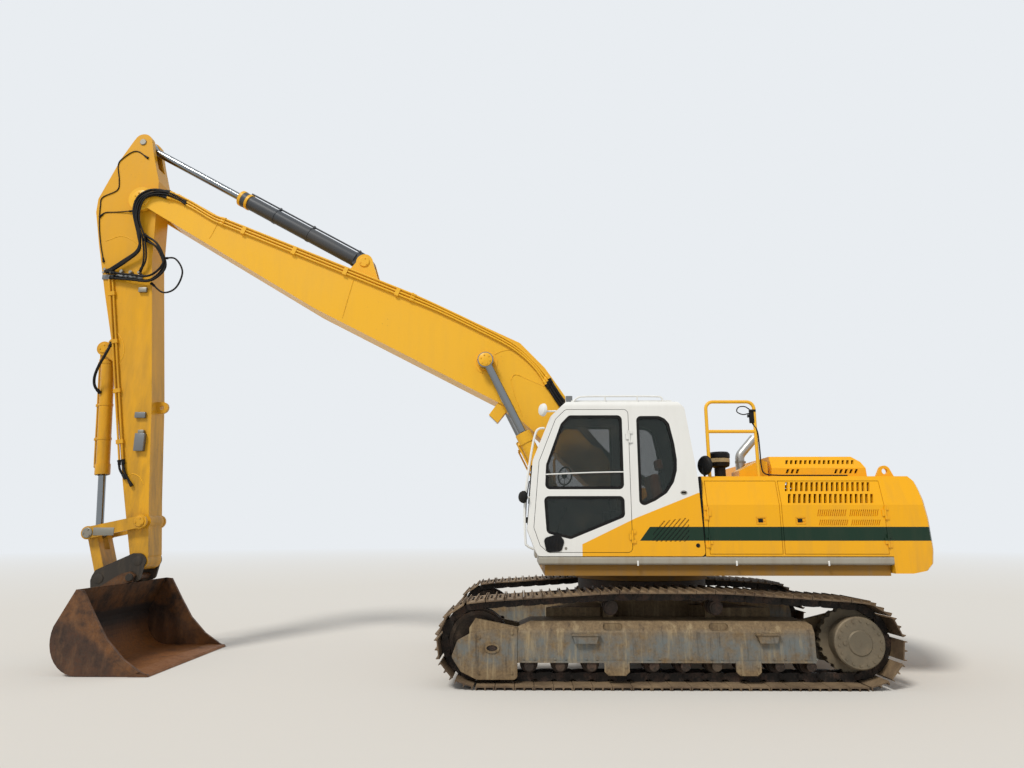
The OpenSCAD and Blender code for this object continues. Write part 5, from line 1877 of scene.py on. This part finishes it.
    def door_fittings(self) -> None:
        """Pad with its grip, lock and white bar on the door."""
        low, high = self.pad_faces
        form = Form().prism(rounded_outline(self.pad, 0.05), low, high, radius=0.004)
        half, (start, end) = self.grip
        for x in self.grips:
            form.block((x - half, high - 0.001, start), (x + half, high + 0.006, end), 0.002)
        form.place("door_pad", "black_plastic", "cab_door")
        Form().cap(self.lock, (0.0, 1.0, 0.0), 0.016, 0.006).place("door_lock", "zinc_bolts", "cab_door")
        Form().tube(smooth_path(self.bar, 6), 0.008).place("door_bar", "trim_paint", "cab_door")

    def rails(self) -> None:
        """White grab rail before the cab and the rail along its roof."""
        Form().tube(smooth_path(self.grab_rail, 6), 0.014, 12).place("front_grab_rail", "trim_paint", "upper")
        form = Form()
        for y in self.roof_rail_y:
            form.tube(smooth_path([(x, y, z) for x, z in self.roof_rail], 6), 0.011, 10)
            for x in self.roof_posts:
                form.rod((x, y, 3.27), (x, y, 3.352), 0.009, sides=10)
        form.place("roof_rails", "trim_paint", "upper")

    def mirrors(self) -> None:
        """Mirror heads with their glass towards the driver, on their arms."""
        forms, glasses = {"black_plastic": Form(), "trim_paint": Form()}, Form()
        for centre, degrees, radius, foot, back, arm in self.mirror_heads:
            turn = math.radians(degrees)
            line = Vector((math.cos(turn), math.sin(turn), 0.0))
            spot = Vector(centre)
            forms[back].spin([(radius * share, along) for share, along in self.mirror_back], spot, line, 36)
            glasses.spin([(radius * share, along) for share, along in self.mirror_glass], spot, line, 36)
            middle = spot + line * 0.03
            bend = (middle + Vector(foot)) / 2 + Vector((0.02, 0.0, -0.01))
            forms[arm].tube(smooth_path((foot, bend, middle), 6), 0.012)
        for finish, form in forms.items():
            piece = form.place(f"mirrors_{finish}", finish, "upper")
            if finish == "black_plastic":
                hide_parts("mirrors")
        glasses.place("mirror_faces", "mirror_glass", "upper")

    def wiper(self) -> None:
        """Wiper over the upper pane."""
        foot = self.front_x(1.84)
        form = Form().block((foot - 0.02, 1.24, 1.81), (foot + 0.035, 1.33, 1.88), 0.01)
        arm = [(self.front_x(z) + out, y, z) for out, y, z in self.wiper_arm]
        start, end = ((self.front_x(z) + out, y, z) for out, y, z in self.wiper_blade)
        form.tube(smooth_path(arm, 5), 0.007).rod(start, end, 0.008, sides=8)
        form.place("wiper", "black_plastic", "upper")


@dataclass
class Pad:
    """A padded piece: a rounded block swollen by simulated air, with sewn channels."""

    name: str
    low: Point
    high: Point
    finish: str
    tilt_deg: float = 0.0
    channels: tuple[tuple[Axis, float], ...] = ()
    voxel: float = 0.009
    cap: float = 0.018
    inset: float = 0.012
    pressure: float = 4.0
    frames: int = 20
    seam_half: float = 0.009
    seam_depth: float = 0.007

    def build(self) -> None:
        """Make the pad in its place."""
        inset = Vector((self.inset,) * 3)
        low, high = Vector(self.low) + inset, Vector(self.high) - inset
        form = Form().block(low, high, 0.03, 3, turned(self.tilt_deg))
        piece = add_object(self.name, form.mesh(self.name))
        self.swell(piece)
        self.finish_mesh(piece)
        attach(piece, "upper")

    def bake(self, piece: bpy.types.Object) -> None:
        """Apply the piece's modifiers.

        Args:
            piece: The pad.
        """
        shaped = piece.evaluated_get(bpy.context.evaluated_depsgraph_get())
        mesh = bpy.data.meshes.new_from_object(shaped)
        piece.modifiers.clear()
        piece.data = mesh

    def swell(self, piece: bpy.types.Object) -> None:
        """Blow the pad up from inside and hold how far it moves.

        Args:
            piece: The pad.
        """
        remesh = piece.modifiers.new("remesh", "REMESH")
        remesh.mode = "VOXEL"
        remesh.voxel_size = self.voxel
        self.bake(piece)
        rest = [v.co.copy() for v in piece.data.vertices]
        cloth = piece.modifiers.new("cloth", "CLOTH")
        cloth.settings.use_pressure = True
        cloth.settings.uniform_pressure_force = self.pressure
        cloth.settings.effector_weights.gravity = 0.0
        cloth.point_cache.frame_end = self.frames
        for frame_number in range(1, self.frames + 1):
            bpy.context.scene.frame_set(frame_number)
        self.bake(piece)
        bpy.context.scene.frame_set(1)
        for vert, start in zip(piece.data.vertices, rest):
            move = vert.co - start
            if move.length > self.cap:
                vert.co = start + move.normalized() * self.cap

    def finish_mesh(self, piece: bpy.types.Object) -> None:
        """Sew the channels, smooth the cover and give it its cloth.

        Args:
            piece: The pad.
        """
        for vert in piece.data.vertices:
            dip = sum(math.exp(-((vert.co[axis.value] - place) / self.seam_half) ** 2)
                      for axis, place in self.channels)
            vert.co -= vert.normal * dip * self.seam_depth
        smooth = piece.modifiers.new("smooth", "SUBSURF")
        smooth.levels = smooth.render_levels = 1
        self.bake(piece)
        piece.data.shade_smooth()
        piece.data.materials.clear()
        piece.data.materials.append(FINISHES.get(self.finish))
        LOG.info("pad %s: %d faces", self.name, len(piece.data.polygons))


@dataclass
class OperatorPlace:
    """The driver's seat, consoles, levers and screen in the cab."""

    middle_y: float = 1.01
    floor_z: float = 1.471
    seam: float = 0.12
    tilt_deg: float = 8.0
    folds: int = 4
    fold_step: float = 0.05
    head_bars: Pair = (0.95, 1.07)
    console_y: float = 0.35
    grip: Outline = ((0.0, 0.0), (0.02, 0.008), (0.026, 0.05), (0.028, 0.085), (0.02, 0.105), (0.0, 0.11))
    lever_y: Pair = (0.94, 1.08)
    lever: Outline = ((1.26, 1.48), (1.24, 1.6), (1.16, 1.8), (1.1, 1.97))
    knob: Outline = ((0.0, 0.0), (0.018, 0.004), (0.02, 0.03), (0.014, 0.055), (0.0, 0.06))
    pedal_deg: float = 18.0
    fan: Point = (1.088, 1.05, 2.398)
    fan_line: Point = (0.7, 0.7, 0.1)
    fan_ring: Pair = (0.112, 0.011)
    fan_stalk: tuple[Point, ...] = (
        (1.08, 1.05, 2.3), (1.2, 1.02, 2.16), (1.36, 1.0, 1.98), (1.46, 0.99, 1.8))
    spokes: int = 6
    spoke_reach: Pair = (0.0216, 0.108)
    screen_stalk: tuple[Point, ...] = ((1.245, 0.74, 2.14), (1.34, 0.7, 2.06), (1.46, 0.66, 1.95))

    def build(self) -> None:
        """Make all of it in place of the plain seat."""
        self.seat_frame()
        across = ((Axis.Y, self.middle_y - self.seam), (Axis.Y, self.middle_y + self.seam))
        Pad("seat_cushion", (-0.02, 0.76, 1.79), (0.54, 1.26, 1.93), "seat_cloth", channels=across).build()
        Pad("seat_back", (-0.11, 0.77, 1.94), (0.02, 1.25, 2.44), "seat_back_cloth", self.tilt_deg,
            (*across, (Axis.Z, 2.1))).build()
        Pad("head_rest", (-0.155, 0.87, 2.46), (-0.06, 1.15, 2.62), "seat_back_cloth", self.tilt_deg).build()
        self.consoles()
        self.levers()
        self.cab_fan()
        self.screen()

    def seat_frame(self) -> None:
        """Suspension under the seat and the shell behind it."""
        form = Form().block((0.06, 0.8, self.floor_z), (0.52, 1.22, 1.53), 0.012)
        for step in range(self.folds):
            rise = self.fold_step * step
            form.block((0.08, 0.82, 1.53 + rise), (0.5, 1.2, 1.572 + rise), 0.014)
        form.block((0.0, 0.78, 1.735), (0.53, 1.24, 1.79), 0.012)
        form.block((-0.165, 0.8, 1.93), (-0.12, 1.22, 2.42), 0.02, turn=turned(self.tilt_deg))
        for y in self.head_bars:
            form.rod((-0.145, y, 2.38), (-0.155, y, 2.5), 0.008, sides=10)
        piece = form.place("seat_frame", "cab_trim", "upper")
        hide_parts("operator_seat")

    def consoles(self) -> None:
        """Side consoles with arm rests and joysticks."""
        for hand, name in ((-1, "far"), (1, "near")):
            y = self.middle_y + hand * self.console_y
            form = Form().block((0.02, y - 0.055, self.floor_z), (0.58, y + 0.055, 1.96), 0.02)
            form.block((-0.05, y - 0.045, 2.02), (0.3, y + 0.045, 2.08), 0.02, 3)
            form.rod((0.06, y, 1.94), (0.04, y, 2.03), 0.02, sides=14)
            form.rod((0.47, y, 1.95), (0.47, y, 2.0), 0.045, 0.016, sides=18)
            form.tube(smooth_path(((0.47, y, 1.98), (0.475, y, 2.05), (0.49, y, 2.12)), 4), 0.013)
            form.spin(self.grip, (0.487, y, 2.1), (0.12, 0.0, 1.0), 18)
            form.place(f"console_{name}", "cab_trim", "upper")

    def levers(self) -> None:
        """Travel levers and pedals."""
        form = Form()
        for y in self.lever_y:
            form.tube(smooth_path([(x, y, z) for x, z in self.lever], 5), 0.011)
            form.spin(self.knob, (1.105, y, 1.955), (-0.3, 0.0, 1.0), 16)
            form.block((1.17, y - 0.045, 1.53), (1.33, y + 0.045, 1.55), 0.006, turn=turned(self.pedal_deg))
        form.block((1.22, 0.9, self.floor_z), (1.3, 1.12, 1.5), 0.006)
        form.place("travel_levers", "cab_trim", "upper")

    def cab_fan(self) -> None:
        """Small fan on a stalk before the driver."""
        centre, line = Vector(self.fan), Vector(self.fan_line)
        radius, wire = self.fan_ring
        form = Form().spin(circle((radius, 0.0), wire, wire, 10), centre, line, 32, True)
        form.cap(centre, line, 0.035, 0.03)
        inner, outer = self.spoke_reach
        out = line.orthogonal().normalized()
        for index in range(self.spokes):
            arm = Quaternion(line.normalized(), math.tau * index / self.spokes) @ out
            form.rod(centre + arm * inner, centre + arm * outer, 0.004, sides=6)
        form.tube(smooth_path(self.fan_stalk, 5), 0.009)
        form.place("cab_fan", "black_plastic", "upper")

    def screen(self) -> None:
        """Screen on its stalk at the cab's front corner."""
        form = Form().block((1.2, 0.66, 2.08), (1.25, 0.84, 2.24), 0.012, 3)
        form.tube(smooth_path(self.screen_stalk, 5), 0.012)
        form.place("screen", "black_plastic", "upper")


@dataclass
class HouseFittings:
    """Latches, caps, brackets, cables and lamps on the upper structure."""

    side: float = 1.4995
    recess: Pair = (1.4952, 1.5035)
    latch_z: float = 1.835
    latch_half: Pair = (0.058, 0.04)
    latches: tuple[tuple[float, str], ...] = ((-1.2, "front"), (-1.665, "rear"))
    vent: Pair = (-0.301, 2.165)
    vent_half: Pair = (0.04, 0.024)
    slot_half: Pair = (0.027, 0.011)
    cap: Pair = (-0.436, 1.549)
    brackets: tuple[float, ...] = (0.279, -0.875, -1.95)
    gap: Outline = ((-0.5245, 1.43), (-0.5015, 1.43), (-0.5015, 2.355), (-0.5245, 2.355))
    intake: Point = (-0.91, 0.95, 2.365)
    band: Outline = ((0.1195, 0.208), (0.1275, 0.21), (0.1275, 0.259), (0.1195, 0.261))
    exhaust: Point = (-1.323, 0.48, 2.6)
    clamp: Outline = ((0.06, 0.01), (0.064, 0.012), (0.064, 0.04), (0.06, 0.042))
    camera_loop: tuple[Point, ...] = (
        (-1.22, 1.35, 3.19), (-1.15, 1.352, 3.235), (-1.07, 1.352, 3.225), (-1.05, 1.352, 3.17),
        (-1.12, 1.352, 3.135), (-1.2, 1.35, 3.15))
    camera_cable: tuple[Point, ...] = (
        (-1.235, 1.33, 3.035), (-1.285, 1.352, 2.92), (-1.296, 1.356, 2.7), (-1.3, 1.356, 2.5),
        (-1.335, 1.352, 2.405), (-1.48, 1.345, 2.383), (-1.85, 1.34, 2.381), (-2.35, 1.33, 2.381))
    roof_lamps: Pair = (0.72, 1.3)
    boom_lens: Outline = ((1.988, 3.213), (2.092, 3.314), (2.097, 3.309), (1.993, 3.208))
    boom_lens_y: Pair = (0.112, 0.228)

    def build(self) -> None:
        """Make all of them."""
        self.door_latches()
        self.side_trim()
        self.intake_trim()
        self.camera()
        self.lamps()

    def door_latches(self) -> None:
        """Paddle latches in the doors' recesses."""
        z, (across, up) = self.latch_z, self.latch_half
        corners = ((-across, z - up), (across, z - up), (across, z + up), (-across, z + up))
        for side in Side:
            low, high = side.span(*self.recess)
            for x, end in self.latches:
                name = f"{side.word}_{end}"
                rim = rounded_outline([(x + a, b) for a, b in corners], 0.01)
                form = Form().ring(rim, low, high, 0.008)
                foot = (x - 0.034, side.value * self.recess[0], z)
                form.cap(foot, (0.0, float(side.value), 0.0), 0.009, 0.006)
                form.place(f"{name}_latch_rim", "housing_paint", f"{name}_door")
                paddle = Form().block((x - 0.02, low, z - 0.018), (x + 0.036, high, z + 0.022), 0.003)
                paddle.place(f"{name}_latch", "black_plastic", f"{name}_door")

    def side_trim(self) -> None:
        """Vent, cap, brackets and the seam's painted shade on the near side."""
        side, (x, z), (across, up) = self.side, self.vent, self.slot_half
        rim = Form().ring(circle(self.vent, *self.vent_half, 28), side, 1.506, 0.009)
        rim.place("vent_rim", "zinc_bolts", "upper")
        slot = Form().block((x - across, side, z - up), (x + across, 1.503, z + up), 0.002)
        slot.place("vent_slot", "black_plastic", "upper")
        cap = Form().cap((self.cap[0], side, self.cap[1]), (0.0, 1.0, 0.0), 0.024, 0.008)
        cap.place("side_cap", "black_plastic", "upper")
        form = Form()
        for x in self.brackets:
            for low, high in ((-1.512, -side), (side, 1.512)):
                form.block((x - 0.01, low, 1.318), (x + 0.01, high, 1.375), 0.002)
        form.place("rail_brackets", "trim_paint", "upper")
        # Black block filling the seam behind the cab: painted shade in the gap.
        Form().prism(self.gap, 1.4, 1.484).place("cab_gap_shade", "seal_rubber", "upper")

    def intake_trim(self) -> None:
        """Band of the air intake and the exhaust's clamp."""
        band = Form().spin(self.band, self.intake, (0.0, 0.0, 1.0), 44, True)
        band.place("intake_band", "filter_band", "upper")
        form = Form().spin(self.clamp, self.exhaust, (0.0, 0.0, 1.0), 36, True)
        form.block((-1.4, 0.465, 2.612), (-1.37, 0.495, 2.64), 0.003)
        form.place("exhaust_clamp", "zinc_bolts", "upper")

    def camera(self) -> None:
        """Camera on the roof rail's rear post, with its cable down to the housing."""
        form = Form().block((-1.262, 1.308, 3.03), (-1.206, 1.352, 3.17), 0.008, 3)
        form.rod((-1.206, 1.33, 3.12), (-1.185, 1.33, 3.12), 0.018, 0.021, sides=16)
        form.block((-1.285, 1.302, 3.17), (-1.21, 1.358, 3.2), 0.005)
        form.tube(smooth_path(self.camera_loop, 6), 0.007)
        form.tube(smooth_path(self.camera_cable, 8), 0.0085)
        form.place("rail_camera", "black_plastic", "upper")

    def lamps(self) -> None:
        """Lenses of the roof lamps and of the lamp under the boom."""
        form = Form()
        for y in self.roof_lamps:
            form.block((1.0795, y - 0.05, 3.296), (1.0875, y + 0.05, 3.364), 0.003)
        form.place("roof_lenses", "lamp_lens", "upper")
        Form().prism(self.boom_lens, *self.boom_lens_y, radius=0.001).place("boom_lens", "lamp_lens", "boom")


@dataclass
class UndercarriageBolts:
    """Bolt circles, guards' bolts and grease points below the deck, on one side."""

    side: Side
    track_y: float = 1.37
    half: float = 0.25
    axle: Pair = (2.15, 0.484)
    drive_face: float = 0.032
    roller_guards: Pair = (0.579, -0.89)
    guard_bolts: Pair = (0.165, 0.235)
    guard_spread: float = 0.1
    guard_reach: float = 0.2
    seats: int = 10
    first_seat: float = -1.6
    last_seat: float = 1.564
    seat_z: float = 0.31
    seat_spread: float = 0.06
    yoke_bolts: Outline = ((1.76, 0.585), (1.76, 0.165), (2.13, 0.54), (2.13, 0.165))
    guard: Outline = (
        (1.694, 0.086), (2.15, 0.086), (2.33, 0.17), (2.44, 0.33), (2.375, 0.505), (2.232, 0.58),
        (1.694, 0.661))
    guard_eye: Pair = (1.981, 0.424)
    eye_half: Pair = (0.085, 0.055)

    def build(self) -> None:
        """Make them."""
        self.hub()
        self.frame_bolts()
        self.idler_guard()

    def hub(self) -> None:
        """Bolts of the final drive's cover."""
        line = Vector((0.0, float(self.side.value), 0.0))
        x, z = self.axle
        form = Form()
        outer = self.side.value * (self.track_y + self.half + self.drive_face)
        form.bolt_circle(Vector((-x, outer, z)), line, 0.238, 18, 0.013)
        form.cap((-x + 0.175, outer, z), tuple(line), 0.02, 0.012)
        form.place(f"drive_bolts_{self.side.word}", "hub_iron", "undercarriage")

    def frame_bolts(self) -> None:
        """Bolts on the guards, the roller seats and the idler's yoke."""
        form = Form()

        def bolt(x: float, z: float, foot: float, top: float, radius: float) -> None:
            """Add one head by its place and its two heights over the frame's side."""
            start, end = (self.side.value * (self.track_y + self.half + y) for y in (foot, top))
            form.rod((x, start, z), (x, end, z), radius, sides=6)

        for x in self.roller_guards:
            for dx in (-self.guard_spread, self.guard_spread):
                for z in self.guard_bolts:
                    bolt(x + dx, z, 0.023, 0.036, 0.014)
        step = (self.last_seat - self.first_seat) / (self.seats - 1)
        for x in (self.first_seat + index * step for index in range(self.seats)):
            if all(abs(x - guard) >= self.guard_reach for guard in self.roller_guards):
                for dx in (-self.seat_spread, self.seat_spread):
                    bolt(x + dx, self.seat_z, -0.001, 0.012, 0.012)
        for x, z in self.yoke_bolts:
            bolt(x, z, 0.011, 0.026, 0.017)
        form.place(f"frame_bolts_{self.side.word}", "frame_steel", "undercarriage")

    def idler_guard(self) -> None:
        """Plate with a rounded nose and an oval eye beside the idler."""
        face = self.track_y + self.half
        low, high = self.side.span(face - 0.02, face + 0.012)
        form = Form().prism(rounded_outline(self.guard, 0.05), low, high, radius=0.005)
        oval = circle(self.guard_eye, *self.eye_half, 32)
        form.ring(oval, *self.side.span(face + 0.011, face + 0.024), 0.022)
        form.place(f"idler_guard_{self.side.word}", "frame_steel", "undercarriage")
        eye = Form().prism(oval, *self.side.span(face + 0.011, face + 0.014))
        eye.place(f"idler_eye_{self.side.word}", "link_steel", "undercarriage")


ARM_CYLINDERS = (
    *(Cylinder(f"lift_{side.word}", f"lift_barrel_{side.word}", (0.9, 1.6), (2.145, 4.083), 1.61, 0.1,
               0.11, 0.058, "arm_paint", side.value * 0.385, -1) for side in Side),
    Cylinder("stick_ram", "stick_barrel", (4.0, 5.68), (7.56, 7.68), 2.3, 0.11, 0.12, 0.058,
             "barrel_paint", yellow_gland=True),
    Cylinder("bucket_ram", "bucket_barrel", (7.8, 4.35), (7.6, 1.69), 1.85, 0.09, 0.1, 0.05,
             "stick_paint"),
)


def main() -> None:
    """Build the scene in order."""
    logging.basicConfig(level=logging.INFO, format="%(message)s")
    Studio().build()
    dress_nodes()
    for part in (TrackChain(Side.RIGHT), TrackChain(Side.LEFT), *(UndercarriageBolts(side) for side in Side),
                 HouseFittings(), CabTrim(), OperatorPlace(), ArmPins(), Welds(), StickBoxes(), ArmPlumbing(),
                 *ARM_CYLINDERS):
        part.build()


if __name__ == "__main__":
    main()
